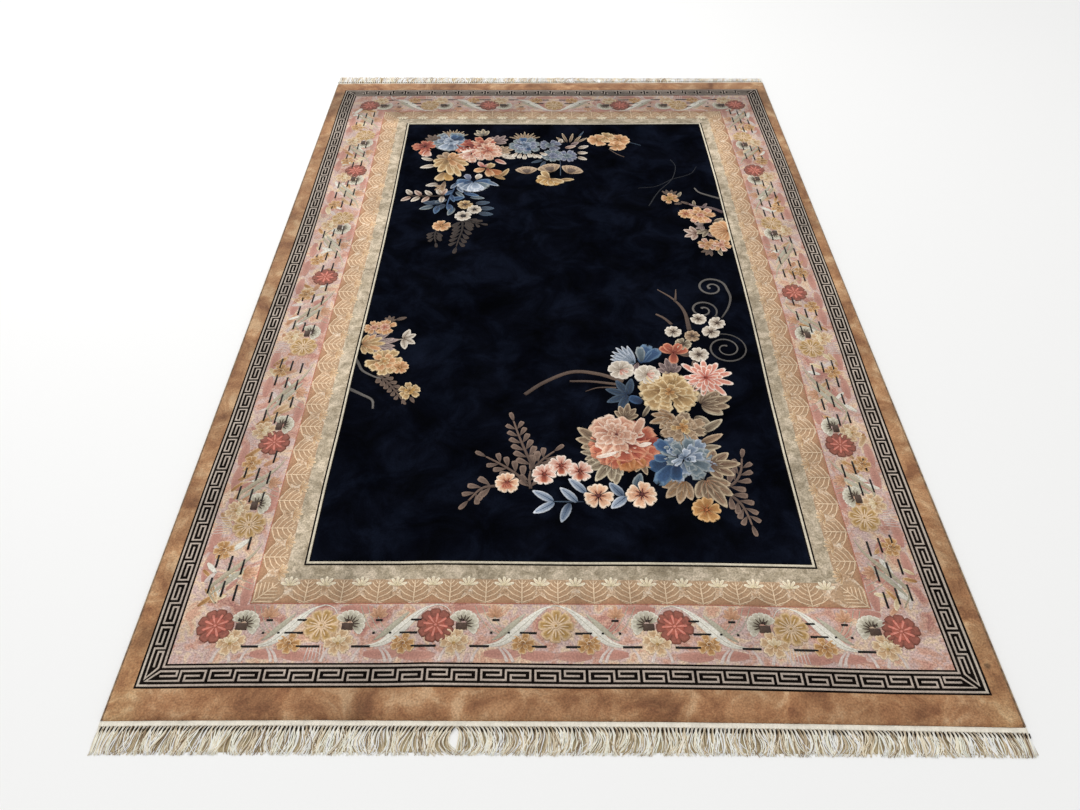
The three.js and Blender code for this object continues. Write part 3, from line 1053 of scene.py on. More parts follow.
def whorl(x, y, count, start, length, width, dye, lift, turn):
    """One ring of a chrysanthemum's narrow petals."""
    return moved(together(ring(count, start, length, width, dye, lift, turn=turn, uneven=0.3,
                               base=0.8, tip=0.55)), x, y)


def blossom(x, y, radius, dye, turn, count, heart, lift, notch=0.14):
    """A small open flower with notched petals, a heart and a few stamens."""
    motifs = ring(count, radius * 0.12, radius * 0.92, radius * 5.3 / count, dye, lift,
                  turn=turn, uneven=0.14, base=0.85, tip=0.3, notch=notch, frill=0.03)
    motifs += ring(count, radius * 0.1, radius * 0.42, radius * 0.1, heart, lift + 0.4,
                   turn=turn, base=0.5, tip=0.9)
    motifs.append(disc(0, 0, radius * 0.13, heart, lift + 0.7))
    return moved(together(motifs), x, y)


def leaf(x, y, turn, length, width, dye, lift=1.0, vein_dye=None, bend=0.0, **form):
    """A leaf with a midrib."""
    shape = {"base": 0.6, "tip": 0.8, **form}
    motifs = [petal(x, y, turn, length, width, dye, lift, bend=bend, **shape)]
    if vein_dye:
        share = np.linspace(0.05, 0.85, 5)
        angle = math.radians(turn)
        along, across = share * length, bend * length * share ** 2
        path = np.stack([x + along * math.cos(angle) - across * math.sin(angle),
                         y + along * math.sin(angle) + across * math.cos(angle)], axis=1)
        motifs.append(strip(path, np.linspace(2.2, 1.2, 5), vein_dye, lift + 0.3))
    return together(motifs)


def cut_leaf(x, y, turn, length, dye, lobes, spread, vein_dye="fern"):
    """A cut leaf: lobes that fan out of one stalk, the middle one longest."""
    motifs = []
    for i in range(lobes):
        offset = i - (lobes - 1) / 2
        reach = length * (1 - 0.16 * abs(offset))
        motifs.append(leaf(x, y, turn + offset * spread, reach, length * 0.4, dye,
                           0.9 + 0.12 * (lobes - abs(offset)), vein_dye))
    return together(motifs)


def fern(stops, length, dye, gap, first, width=0.44):
    """A feathered frond: a stem with leaflets in turn on its two sides, and one at its end."""
    path = smooth_path(stops, 3.0)
    motifs = [stem(stops, 9, 5, dye, 1.1)]
    steps = np.linalg.norm(np.diff(path, axis=0), axis=1)
    walked = np.concatenate([[0], np.cumsum(steps)])
    count = int(walked[-1] * (1 - first) / gap)
    for i in range(count):
        at = walked[-1] * first + gap * i
        x, y = np.interp(at, walked, path[:, 0]), np.interp(at, walked, path[:, 1])
        ahead = min(at + 3, walked[-1])
        heading = math.degrees(math.atan2(np.interp(ahead, walked, path[:, 1]) - y,
                                          np.interp(ahead, walked, path[:, 0]) - x))
        reach = length * (1.2 - 0.4 * at / walked[-1])
        for hand in (-1, 1):
            motifs.append(petal(x, y, heading + hand * LEAFLET_ANGLE, reach, reach * width,
                                dye, 0.8, base=1.3, tip=0.35, bend=-0.15 * hand))
    (x0, y0), (x1, y1) = path[-2], path[-1]
    heading = math.degrees(math.atan2(y1 - y0, x1 - x0))
    motifs.append(petal(x1, y1, heading, length * 0.9, length * 0.36, dye, 0.9, base=0.9))
    return together(motifs)


def tendril(tail, centre_x, centre_y, outer, inner, start, turns, width):
    """A curled shoot: a tail that runs into a spiral."""
    count = int(abs(turns) * CURL_POINTS)
    share = np.linspace(0, 1, count)
    angle = math.radians(start) + share * turns * 2 * math.pi
    radius = outer + (inner - outer) * share ** 1.1
    curl = np.stack([centre_x + radius * np.cos(angle), centre_y + radius * np.sin(angle)],
                    axis=1)
    path = np.concatenate([smooth_path([*tail, curl[0]]), curl[1:]]) if tail else curl
    taper = np.interp(np.linspace(0, 1, len(path)), (0, 0.35, 0.85, 1), (0.6, 1.0, 0.7, 0.9))
    return together([strip(path, width * taper, "tendril", 0.8),
                     disc(*path[-1], width * 0.62, "tendril", 0.9)])


def peony(rings, x, y, radius, turn, frill=0.14):
    """A full flower: rings of (petals, start, length, width, dye, lift), as shares of radius."""
    motifs = []
    for k, (count, start, length, width, dye, lift) in enumerate(rings):
        motifs += ring(count, start * radius, length * radius, width * radius, dye, lift,
                       turn=turn + 23 * k, uneven=0.3, base=0.75, tip=0.3, notch=0.07,
                       frill=frill)
    return moved(together(motifs), x, y)


def cup(x, y, turn, size):
    """A half-open flower seen from its side: five petals, and three sepals over them."""
    return moved(together(charted("""
        petal 0 0 -42/42/-21/21/0 62 30 sand 1.2/1.3 .7 .3 .08
        petal 6 0 -24/24/0 34 20 bark 1.9 .7 .5
    """)), x, y, turn, size)


# %% [markdown]
# ## Charts
# A weaver works from a chart, and so do the sprays. Each line of a chart names a kind and
# gives its values in the order of its function, in mm and degrees, with the dyes by name. One
# line can give several motifs: values parted by / are taken in turn, a value such as 1.3+.06
# grows by its second number from one motif to the next, and a count can follow the kind.
# Entries parted by commas are the stops of a stem or the rings of a peony.

# %% Read a chart
PLACED = {"petal": petal, "leaf": leaf, "cut_leaf": cut_leaf, "whorl": whorl,
          "blossom": blossom, "disc": disc, "cup": cup}
LISTED = {"stem": stem, "fern": fern, "tendril": tendril, "peony": peony}


def entry(text, i):
    """What a chart's word says for motif i: a number, or a name as it stands."""
    choices = text.split("/")
    text = choices[i % len(choices)]
    start, _, growth = text.partition("+")
    try:
        number = float(start) + float(growth or 0) * i
    except ValueError:
        return text
    return int(number) if number == int(number) else number


def charted(chart):
    """The motifs of a chart. Lines that start with # are remarks."""
    motifs = []
    for line in chart.splitlines():
        kind, *words = line.split() or ["#"]
        if kind == "#":
            continue
        kind, _, count = kind.partition("*")
        count = int(count or max(word.count("/") for word in words) + 1)
        for i in range(count):
            values, lists, form = [], [], {}
            for word in words:
                name, _, text = word.rpartition("=")
                if name:
                    form[name] = entry(text, i)
                elif "," in text:
                    lists.append([entry(part, i) for part in text.split(",")])
                else:
                    values.append(entry(text, i))
            if kind in LISTED:
                motifs.append(LISTED[kind](lists, *values, **form))
            else:
                motifs.append(PLACED[kind](*values, **form))
    return motifs


def add_spray(name, shift_x, shift_y, chart):
    """Adds a spray, moved from its place on the floor to its place in the pattern."""
    low_x, high_x = inset_box("field")[:2]
    placed = []
    for motif in charted(chart):
        points, faces, dyes = moved(motif, shift_x, shift_y)
        points[:, 0] = np.clip(points[:, 0], low_x - 3, high_x + 3)
        placed.append((points, faces, dyes))
    pattern.append(pile_piece(name, placed))


# %% [markdown]
# The front right spray: a coral, a blue and two gold peonies, a chrysanthemum, white plum
# blossom on a bare branch, curled tendrils and brown ferns. What is drawn first lies lowest.

# %% Draw the front right spray
add_spray("spray_front_right", 7.4, -3.3, """
    # Bare stems and branches, tendrils and ferns.
    stem -93,-479 -40,-432 36,-391 110,-398 180,-428 12 13 bark
    stem 31,-427 90,-428 170,-440 7 10 bark
    stem 74,-466 110,-452 160,-452 3 6 bark
    stem 386,-214 379,-130 352,-72 307,-25 15 4 bark
    stem 356,-84 361,-52 364,-24 9 3 bark
    stem 336,-189 315,-160 292,-142 10 7 bark
    tendril 489,-157 515,-110 529,-60 476 -14 47 8 0 1.55 8.5
    tendril 470,-165 477,-156 437 -122 43 10 -40 1.4 7.5
    tendril 484 -292 64 12 120 -2.1 6
    fern -62,-740 -82,-690 -104,-630 -120,-578 38 fern 25 .1
    fern -64,-738 -40,-706 -12,-680 38 fern 19 .05
    fern -78,-785 -110,-752 -150,-722 -186,-700 38 fern 25 .15
    fern -150,-792 -190,-800 -222,-838 38 fern 22 .2
    fern -70,-800 -74,-770 -72,-745 30 fern 18 .1
    fern 398,-800 436,-778 458,-742 468,-700 38 fern 24 .2
    fern 412,-806 440,-838 452,-870 458,-902 37 fern 23 .12
    # Leaves.
    leaf 190 -480 160/118/78/205/245 66 27 slate 1 blue
    leaf 228 -508 150 42 32 deep_blue 1 base=.5 tip=.5
    leaf 62 -838 180 78 4 slate .9 base=.4 tip=.5
    leaf -14/-12/26 -838/-840/-842 143/218/246 62 25 white_blue/white_blue/pale_blue 1.1 blue .1/-.1/.05
    leaf 44/66 -840/-812 128 62 25 white_blue 1.1 blue .1
    leaf 158/165/188 -822/-822/-800 128/222/70 54 28 pale_blue/white_blue/steel 1.1 deep_blue
    cut_leaf 112 -652 140 84 tan_leaf 5 28
    cut_leaf 104 -690 170 50 olive_cream 3 34
    cut_leaf 178 -565 78 56 tan_leaf 5 30
    leaf 225 -560 62 60 15 olive_cream 1.1 fern
    cut_leaf 134 -712 236 78 olive_cream 5 32
    leaf 118 -700 205 62 26 olive_cream 1.1 fern
    leaf 150 -722 262 68 27 olive_cream 1.2 fern
    cut_leaf 210 -712 285 46 tan_leaf 3 40
    leaf 378 -612 38 76 28 olive_cream 1.2 fern
    leaf 370 -650 28 70 25 sand 1.2 fern
    leaf 366 -668 8 56 22 olive_cream 1.1 fern
    cut_leaf 384 -722 4 80 tan_leaf 5 34 heart
    cut_leaf 388 -512 18 92 tan_leaf 5 24
    leaf 388 -520 -28 62 34 olive_cream 1.1 fern
    cut_leaf 312 -774 240 80 sand 4 28 amber
    cut_leaf 366 -770 296 94 tan_leaf 5 26 rust
    cut_leaf 316 -392 100 60 mauve 5 30
    cut_leaf 372 -458 60 50 mauve 3 36
    cut_leaf 302 -560 200 66 sand 5 30 amber
    leaf 362 -560 330 48 34 olive_cream 1.1 fern
    # Feathered blue bloom and its half-open neighbours.
    leaf 216 -356 178/104/166/116/154/128/142 68.5/77.6/72.7/81.8/76.9/86/81.1 19 white_blue 1+.04 steel
    petal 232 -356 72 80 44 blue 1.3 .7 .35 .1
    petal 240 -352 48 74 40 blue 1.4 .7 .35 .1
    petal 236 -352 92 66 30 steel 1.5 .7 .4 .1
    petal 226 -352 250 40 20 mauve 1.3
    petal 176 -382 -130/-80/170/120/70/20/-30 38 30 plum_white 1.3+.1 .7 .3 .1
    petal*4 176 -382 -90+30 24 12 rose_tip 1.9
    petal 248 -400 -90/-40/210/160/110/60/10 38 30 plum_white 1.3+.1 .7 .3 .1
    petal*4 248 -400 -50+30 24 12 rose_tip 1.9
    # Chrysanthemum with a coral heart and pale tips.
    whorl 412 -412 13/11/7 8/4/2 68/50/32 21/19/15 dahlia 1.2/1.6/2.1 64/32/16
    disc 412 -412 7 coral_deep 2.6
    # Gold peony above, tan peony below it.
    peony 306 -468 80 14 9,.3,.72,.56,honey,1.2 8,.2,.6,.46,honey,1.6 \
        6,.1,.5,.42,honey_deep&honey,2 5,.05,.36,.32,honey,2.4 3,0,.2,.2,amber,2.8
    petal 282 -462 205 60 44 honey 2.2 .7 .3 .14
    petal 324 -484 320 54 40 honey 2.3 .7 .3 .14
    peony 326 -598 60 30 8,.28,.78,.58,sand&tan_leaf,1.3 7,.15,.6,.48,sand,1.7 \
        6,.06,.44,.36,honey&sand,2.1 4,0,.26,.24,amber,2.5
    # Blue peony: deep blue on its left, grey blue on its right, pale at its rims.
    peony 320 -702 82 5 10,.32,.7,.5,steel&pale_blue,1.3 8,.22,.6,.44,steel,1.7 \
        7,.12,.5,.38,pale_blue&steel,2.1 5,.05,.36,.3,white_blue&steel,2.5 3,0,.2,.18,pale_blue,2.9
    petal 292 -688 132 60 42 blue 1.9 .7 .3 .14
    petal 288 -712 200 62 46 deep_blue 2 .7 .3 .14
    petal 286 -722 238 72 44 blue 2.1 .7 .3 .14
    petal 300 -716 262 58 36 deep_blue 2.3 .7 .4 .14
    petal 282 -706 172 40 30 blue 2.4 .7 .4 .14
    disc 306/332 -694/-706 5/6 slate 3.1
    # Coral peony: dark coral petals below, a pale rose cup above, white turned lips.
    petal 168 -660 62/33/6/172/-18/152 92/98/98/94/96/84 52 \
        coral_deep/coral/coral_deep/coral/coral/coral_deep 1.3+.06 .7 .3 .16
    petal 168 -660 198/-40/220/-62/243/-86 94/94/88/88/84/86 52 \
        coral/coral/coral/orange/coral/orange 1.66+.06 .7 .3 .16
    petal 168 -660 -110/-66/-36/-8/-142/20/-90 62/60/66/70/62/66/56 52 \
        coral_deep/coral_deep/coral/coral/coral/coral_deep/coral 2.02+.06 .7 .3 .16
    peony 150 -624 76 10 .06 7,.2,.8,.74,blush&shell,2.3 6,.12,.64,.62,shell&blush,2.8 \
        5,.05,.48,.5,blush,3.2 4,0,.32,.36,shell,3.6 3,0,.17,.2,blush,4
    petal 192 -630 58 74 28 blush 3 .6 .5 0 .1
    disc 151 -625 4 heart 4.4
    petal 94 -700 6 64 14 blush_edge 2.9 .5 .8 0 .22
    petal 208 -664 24 36 16 blush_edge 3 .5 .8 0 -.1
    # Small blossoms, from the left.
    blossom -129 -783 31 bloom_peach 10 6 coral_deep 1.6
    blossom -37/6/53 -755/-727/-744 32/32/31 bloom_pink 0/30/15 6 coral_deep 1.6
    blossom 96/203 -821/-816 36/38 bloom_peach 0/20 6 heart 1.6
    blossom 355 -861 35 amber 10 6 orange 1.6
    petal -129 -783 -60/-90/-120 20 16 coral 2.4
    petal -37/6/53 -760/-733/-750 -90 22 20 coral 2.4 .6 .5
    # White plum blossom.
    blossom 337/391/418 -221/-239/-164 24/23/24 plum_white/sand/plum_white 0/20/40 5 umber 1.3 .1
    blossom 471/448/361 -182/-221/-275 25/26/23 plum_white/plum_white/olive_cream 10/55/30 5 umber 1.3 .1
    blossom 402 -318 28 plum_white 30 5 umber 1.3 .1
    leaf 380/392 -322/-338 170/250 36/34 18 bark
    petal 330 -312 150/20/120/60/265 46 30 coral 1.3+.1 .7 .5
""")

# %% [markdown]
# The back left spray: a grey-blue and a coral peony and a long-petalled gold bloom in the
# corner, blue flowers and tan cups along the back, and leaves and small blossoms that hang
# down the side.

# %% Draw the back left spray
add_spray("spray_back_left", -2.4, 2.8, """
    # Faint twigs in the dark, ferns and feathery spikes.
    stem 330,430 372,520 428,603 452,690 440,740 5 3 night_twig
    stem 300,545 366,556 428,603 3 4 night_twig
    stem 428,603 500,640 530,690 4 2.5 night_twig
    stem 262,868 300,866 338,846 5 3 slate
    stem 214,818 240,784 268,760 5 3 bark
    stem 25,740 26,690 24,630 4 4 slate
    fern -318,352 -314,290 -322,235 -328,190 42 fern_dark 24 .08
    fern -312,350 -285,330 -256,322 32 fern_dark 17 .2
    fern -400,290 -404,250 -398,215 32 fern_dark 16 .2
    leaf*11 -388 905 22+13.6 66/56 11 tan_leaf/sand .8 base=.5
    leaf*9 -108 886 22+17 66/56 11 tan_leaf/sand .8 base=.5
    leaf 56/66/82/46/92 868 104/78/60/128/40 76/72/60/52/56 13 tan_leaf .8
    leaf 100 905 64 56 8 slate .8
    # Leaves of the corner.
    cut_leaf -452 880 128 56 bark 5 30
    cut_leaf -268 920 110 56 olive_cream 4 32 steel
    cut_leaf -222 868 52 66 mauve 5 28
    cut_leaf -205 806 8 56 sand 5 30
    leaf -196 770 -22 58 27 plum_white 1.1 fern
    leaf -218 742 -38 54 26 rose_tip 1.1 fern
    leaf -440 700 198 58 27 plum_white 1.1 sand
    leaf -450 735 160 50 22 plum_white 1 sand
    leaf -420 572 196 46 25 plum_white 1.1 lavender
    cut_leaf -398 556 220 40 sand 3 40 amber
    # Coral bloom by the guard.
    peony -492 838 40 0 7,.25,.85,.7,coral,1.2 5,.1,.6,.55,coral_deep,1.7
    petal -490 842 186 52 28 coral 1.4 frill=.1
    petal -478 810 270 50 40 rose_tip 1.6 .7 .3 .1
    petal -476 812 235 44 34 coral 1.7 .7 .3 .1
    disc -474 806 5 coral_deep 2.2
    # Grey-blue peony, deep blue at its heart, pale at its lower left.
    peony -392 872 70 10 10,.25,.78,.52,steel,1.2 7,.12,.66,.5,pale_blue,1.7 5,0,.46,.4,white_blue,2.2
    petal -384 880 38 48 36 deep_blue 2.4 .7 .4 .1
    petal -388 886 72 40 32 blue 2.5 .7 .4 .1
    petal -398 856 232 52 42 white_blue 2.4 .7 .3 .1
    petal -388 852 265 46 40 pale_blue 2.5 .7 .3 .1
    disc -392 874 6 slate 3
    # Coral peony: four whorls run together, deep red at its upper left, blush at its lower right.
    peony -324 836 52 0 8,.25,.8,.6,coral_deep&coral,1.4 6,.1,.6,.5,coral&coral_deep,1.9
    peony -270 852 54 20 8,.25,.8,.6,coral&shell,1.5 6,.1,.6,.5,shell&coral,2
    peony -306 780 52 10 8,.25,.8,.6,blush&rose_tip,1.7 6,.1,.6,.5,blush&rose_tip,2.2
    peony -250 800 64 40 9,.28,.76,.54,shell&blush,1.8 7,.15,.62,.5,blush&shell,2.2 \
        5,0,.44,.42,coral&shell,2.6
    petal -300 838 150 44 28 coral_deep 2.5 .7 .4 .1
    petal -300 812 205 50 16 blush_edge 2.6
    petal -280 812 20 40 14 coral_deep 2.8
    # Gold bloom with long streaked petals that hang down, and a golden leaf under it.
    leaf -392 742 150/110/70/195/35/0 54/56/52/60/66/78 30/32/32/34/34/36 \
        sand/sand/apricot/honey/apricot/apricot 1.3+.07 amber base=.7 tip=.5
    leaf -392 742 -28/225/-108/-52/-82/-68 86/74/96/104/116/132 36/36/36/34/36/30 \
        honey/honey/honey/apricot/honey/honey 1.72+.07 amber base=.7 tip=.5
    petal -392 742 -60 56 32 apricot 2.5 frill=.08
    petal -392 742 -110 50 30 honey_deep 2.6 frill=.08
    disc -392 742 8 amber 3
    petal -402 650 250 62 40 honey 1.5 .7 .35 .1
    petal -398 648 290 58 36 ochre 1.6 .7 .35 .1
    petal -396 590 262 76 24 sand 1.3 frill=.08
    # Orange-gold bloom with a leaf on each side.
    leaf -262 690 118 40 24 rose_tip 1.1
    leaf -296 722 148 34 22 shell 1.1
    petal -262 690 20 40 28 rose_tip 1.2 frill=.1
    petal -246 668 -28 62 40 orange 1.6 .7 .35 .1
    petal -246 672 -70 52 38 apricot 1.7 .7 .35 .1
    petal -252 676 205 46 34 apricot 1.8 .7 .35 .1
    petal -246 676 60 42 32 honey 1.9 .7 .4 .1
    leaf -198 620 52 66 22 honey 1.3 amber .15
    leaf -222 632 -34 54 22 honey_deep 1.2 amber
    disc -244 670 6 coral_deep 2.4
    # Blue flower that hangs, white in its cup, and its blue sprays.
    petal -306 596 110 44 28 lavender 1.2 frill=.1
    petal -282 600 72 40 28 plum_white 1.3 frill=.1
    leaf -254 592 -32 64 24 pale_blue 1.2 blue
    petal -292 580 175/5/210/-30/240/-62/-92 62 44 \
        blue/blue/pale_blue/steel/pale_blue/white_blue/white_blue 1.5+.1 .7 .3 .08
    petal -286 572 -80 40 44 white_blue 2.6 .6 .35
    petal -300 584 195 30 20 deep_blue 2.6
    stem -352,590 -360,540 -372,480 -378,430 7 5 blue
    stem -340,560 -330,525 -300,500 5 4 blue
    leaf -352/-348/-362/-352 575/552/528/520 240/-60/228/-50 40/44/42/50 20 \
        pale_blue/pale_blue/blue/steel 1.1 deep_blue
    leaf -322/-300/-368/-380 510/484/500/470 -18/-8/-72/205 58/54/48/48 20 blue/steel 1.1 deep_blue
    leaf -424/-418/-408/-384 428/440/432/440 200/160/262/230 52 26 steel/slate/blue/slate 1.1 deep_blue
    leaf -372/-352/-366/-392 440/420/468/450 285/250/20/175 52 26 blue/steel/blue/slate 1.1 deep_blue
    leaf -278/-262/-264 444/414/384 8/0/-8 52 27 slate 1.1 steel
    stem -300,430 -282,418 -262,400 4 3 slate
    # Cream and pink sprig.
    stem -392,494 -440,492 -514,494 4 3 bark
    leaf -508/-474/-436/-510/-478/-446/-402/-400/-398 500/496/496/488/488/488/500/500/490 \
        122/128/130/218/226/238/118/70/268 42 23 plum_white/sprig_pink 1.2 bark
    # The row along the back: a blue-violet peony, its smaller neighbours and white scallops.
    peony -108 846 62 8 9,.28,.74,.56,steel,1.2 7,.12,.62,.5,lavender,1.7 5,0,.42,.38,pale_blue,2.2
    petal -112 868 95 34 34 blue 2.3 .7 .3
    petal -96 838 280 34 20 deep_blue 2.4
    disc -108 846 5 slate 2.8
    peony -12 846 40 20 7,.25,.8,.66,lavender,1.2 5,0,.5,.5,steel,1.7
    peony -2 768 42 0 8,.25,.8,.62,steel,1.2 5,0,.5,.5,lavender,1.7
    peony 54 766 38 30 7,.25,.8,.66,lavender,1.2 5,0,.5,.5,steel,1.7
    leaf -40/-30 738/730 205/245 48/44 18/16 slate 1
    petal*10 -178+14 792/786/780 205+13 36 19 plum_white 1.3/1.45 .8 .35 .08
    leaf 28/46/96/92 862/826/824/790 78/20/24/0 34/46/46/40 22 \
        plum_white/sprig_pink/plum_white/plum_white 1.1 fern
    leaf 92/20/70 760/826/846 -30/150/40 40/30/40 22 plum_white/bark/mauve 1.1 fern
    # Tan cups on their stalks and the gold flower under them.
    cup -98/-6/54 640/654/644 95/110/62 .85/.95/.92
    petal -18 606 112/160/200/228/255/282/310/338 60/46/50/46/44/46/50/58 30 \
        honey/honey/ochre/honey/ochre/honey/ochre/honey 1.3+.07 .7 .35 .08
    leaf 22 600 4 52 22 honey 1.4
    disc -16 604 6 amber 2.4
    # Gold blossoms at the end of the row, and the small ones that hang down the side.
    blossom 176/206/258/246 886/908/888/842 42/34/40/32 apricot/honey/apricot/apricot \
        0/20/30/10 5 amber 1.4 .12
    blossom -387 310 30 apricot 18 5 amber 1.4 .12
    blossom -314 436 26 honey 0 5 umber 1.4 .12
    blossom -279/-316 406/367 25/28 plum_white 25/40 5 umber 1.4 .12
    disc -316/-279 367/406 10/7 black 2.2
""")

# %% [markdown]
# The two small sprays each lean out of the guard, with warm blooms, leaves and curled stems.

# %% Draw the left spray
add_spray("spray_left", -0.3, -1.9, """
    stem -572,-340 -560,-360 -544,-388 -508,-412 -486,-420 10 5 tendril
    stem -572,-458 -534,-480 -501,-502 -494,-534 11 6 tendril
    fern -500,-404 -470,-432 -440,-470 -420,-500 25 bark 19 .05 .6
    cut_leaf -500 -180 76 30 bark 4 34
    leaf -480 -172 20 34 15 bark
    leaf -410/-398 -492/-490 250/300 26 12 bark
    leaf -556 -280 66/38/12/-14/-40 66/86/102/98/76 28 mauve 1 plum_white
    leaf -540 -284 24/-2/-28 74 26 mauve 1.25 plum_white
    petal -562 -280 76/-70/52/-46/28/-22/3 44/44/54/56/62/64/68 21 \
        honey/honey/apricot/honey/honey/apricot/honey 1.6+.05 .7 .6 .08
    stem -476,-262 -452,-258 -438,-258 4 4 plum_white
    leaf -446 -256 72/30/-30/-78 44/40/42/46 24 plum_white 1.2 bark
    peony -540 -206 28 0 7,.2,.85,.66,apricot,1.3 4,0,.5,.5,shell,1.8
    peony -508 -206 32 20 7,.2,.85,.66,apricot,1.4 5,0,.5,.5,shell,1.9
    peony -488 -352 50 0 8,.25,.8,.6,honey,1.4 6,.1,.62,.5,apricot,1.9 4,0,.36,.36,honey,2.3
    disc -488 -352 6 amber 2.8
    disc -508 -206 4 coral 2.4
    blossom -441 -375 25 apricot 0 6 amber 1.5
    peony -403 -468 31 0 7,.2,.85,.66,honey,1.4 5,0,.5,.5,ochre&honey,1.9
""")

# %% Draw the right spray
add_spray("spray_right", -4.9, -1.9, """
    stem 588,482 548,503 518,523 506,550 11 6 tendril
    stem 588,396 548,424 506,430 470,450 14 8 mauve
    leaf 492/520 436/428 88/52 34/30 14/12 olive_cream/mauve
    leaf 476/452 446/452 150/190 34/30 14 bark
    leaf 412 500 128/104/72/44 40 13 bark .9
    leaf 438 490 62 38 14 olive_cream
    peony 410 482 32 20 6,.2,.85,.7,apricot,1.3 4,0,.5,.5,ochre,1.8
    peony 506 378 48 0 8,.25,.8,.6,apricot&shell,1.4 6,.1,.6,.5,apricot,1.9 4,0,.36,.36,shell,2.3
    blossom 456 386 26 apricot 0 6 coral 1.5
    disc 506 378 5 coral 2.8
    leaf 548 340 30 40 20 olive_cream 1.1 fern
    leaf 506 316 150/110/215/260 32 16 mauve 1 plum_white
    leaf 478 272 112/152/205/246 44/46/46/42 24 sprig_pink 1.2 bark
    leaf 520 290 205/240/190 46 18 olive_cream 1 fern
    petal 584 286 100/255/128/230/155/205/180 62 34 apricot 1.4+.06 .7 .35 .1
    leaf 540 254 150/30/90 34 16 mauve 1
    peony 512 210 32 0 7,.2,.85,.66,blush&apricot,1.4 4,0,.5,.5,apricot,1.9
    peony 552 208 32 20 7,.2,.85,.66,apricot&blush,1.3 4,0,.5,.5,shell,1.8
    leaf 512 180 200/238/272 34 15 bark .9
    leaf 540 182 282 34 15 olive_cream
""")

# %% [markdown]
# ## Bound sides
# Each long side is overcast: thread is wound round the edge cords, turn against turn. One
# turn is modelled, a short bulged sleeve, and an array repeats it along the whole side.

# %% Wind the selvedges
CORD = 5.0
SLANT = 0.9
BULGE = 1.14
TURN_PITCH = 3.0
TURNS = int(2 * HALF_LENGTH / TURN_PITCH)
SKEIN_PATCH = 0.0125
PLY = 1 / 900

thread, tree, output = new_material("overcast_silk_thread")
place = add_node(tree, "ShaderNodeTexCoord", {}, {})
# The thread's tone changes every few turns, 12 mm or so.
skein = add_node(tree, "ShaderNodeTexNoise", {}, {
    "Vector": place.outputs["Object"], "Scale": 1 / SKEIN_PATCH, "Detail": 4.0})
tones = add_node(tree, "ShaderNodeValToRGB", {}, {"Fac": skein.outputs["Fac"]})
for stop, position, tone in zip(tones.color_ramp.elements, (0.35, 0.65),
                                ("#6A5038", "#A48A66")):
    stop.position = position
    stop.color = (*linear(tone), 1)
plies = add_node(tree, "ShaderNodeTexNoise", {}, {
    "Vector": place.outputs["Object"], "Scale": 1 / PLY, "Detail": 2.0})
bump = add_node(tree, "ShaderNodeBump", {}, {
    "Height": plies.outputs["Fac"], "Strength": 0.4, "Distance": 0.0004})
shader = add_node(tree, "ShaderNodeBsdfPrincipled", {}, {
    "Base Color": tones.outputs["Color"], "Roughness": 0.6, "Sheen Weight": 0.2,
    "Normal": bump.outputs["Normal"]})
tree.links.new(shader.outputs["BSDF"], output.inputs["Surface"])

selvedges = []
for side, hand in (("left", -1), ("right", 1)):
    deselect_all()
    bpy.ops.mesh.primitive_circle_add(vertices=8, radius=0.44, fill_type="NOTHING")
    sleeve = bpy.context.object
    bpy.ops.object.mode_set(mode="EDIT")
    for size in (BULGE, 1 / BULGE):
        bpy.ops.mesh.extrude_edges_move(TRANSFORM_OT_translate={"value": (0, 0, 0.5)})
        bpy.ops.transform.resize(value=(size, size, 1))
    bpy.ops.object.mode_set(mode="OBJECT")
    turns = sleeve.modifiers.new("turns", "ARRAY")
    turns.count = TURNS
    turns.use_relative_offset = False
    turns.use_constant_offset = True
    turns.constant_offset_displace = (0, 0, 1)
    turns.use_merge_vertices = True
    bpy.ops.object.modifier_apply(modifier="turns")
    bpy.ops.object.mode_set(mode="EDIT")
    bpy.ops.mesh.select_all(action="SELECT")
    bpy.ops.mesh.fill_holes(sides=8)
    face_outward()
    wound = vertices_of(sleeve.data)
    along = (wound[:, 2] + wound[:, 0] * SLANT) * TURN_PITCH - HALF_LENGTH
    along = np.clip(along, -HALF_LENGTH, HALF_LENGTH)
    across = hand * (HALF_WIDTH - CORD / 2) + wound[:, 0] * CORD
    floor_x, floor_y = laid(across, along)
    height = CORD / 2 + wound[:, 1] * CORD
    sleeve.data.vertices.foreach_set(
        "co", (np.stack([floor_x, floor_y, height], axis=1) / 1000).ravel())
    bpy.ops.object.mode_set(mode="EDIT")
    face_outward()
    sleeve.data.shade_smooth()
    selvedges.append(finish_piece("selvedge_" + side + "_thread", thread,
                                  "selvedge_" + side))
    print(sleeve.name + ":", TURNS, "turns,", len(sleeve.data.polygons), "faces")

# %% [markdown]
# ## End webs and fringe
# At each end the warp is woven bare for 13 mm, which makes a cream web, and its ends are then
# knotted in little bundles, about 8 mm apart, and cut straight. The yarns of a bundle leave
# the web a little apart, meet in the knot and spread again. They lie on the floor as they
# fell: the same two tables as in the CAD say how far each part of the fringe leans and where
# it parts.

# %% How the fringe lies
WEB_WIDTH = 13.0
WEB_HEIGHT = 2.6
WEB_NEAR = HALF_LENGTH + 0.3
WEB_FAR = WEB_NEAR + WEB_WIDTH
FRINGE_REACH = 1436.0
BUNDLES = 229
YARNS_IN_BUNDLE = 6
YARN_STEPS = 7
PARTING_SPREAD = 45

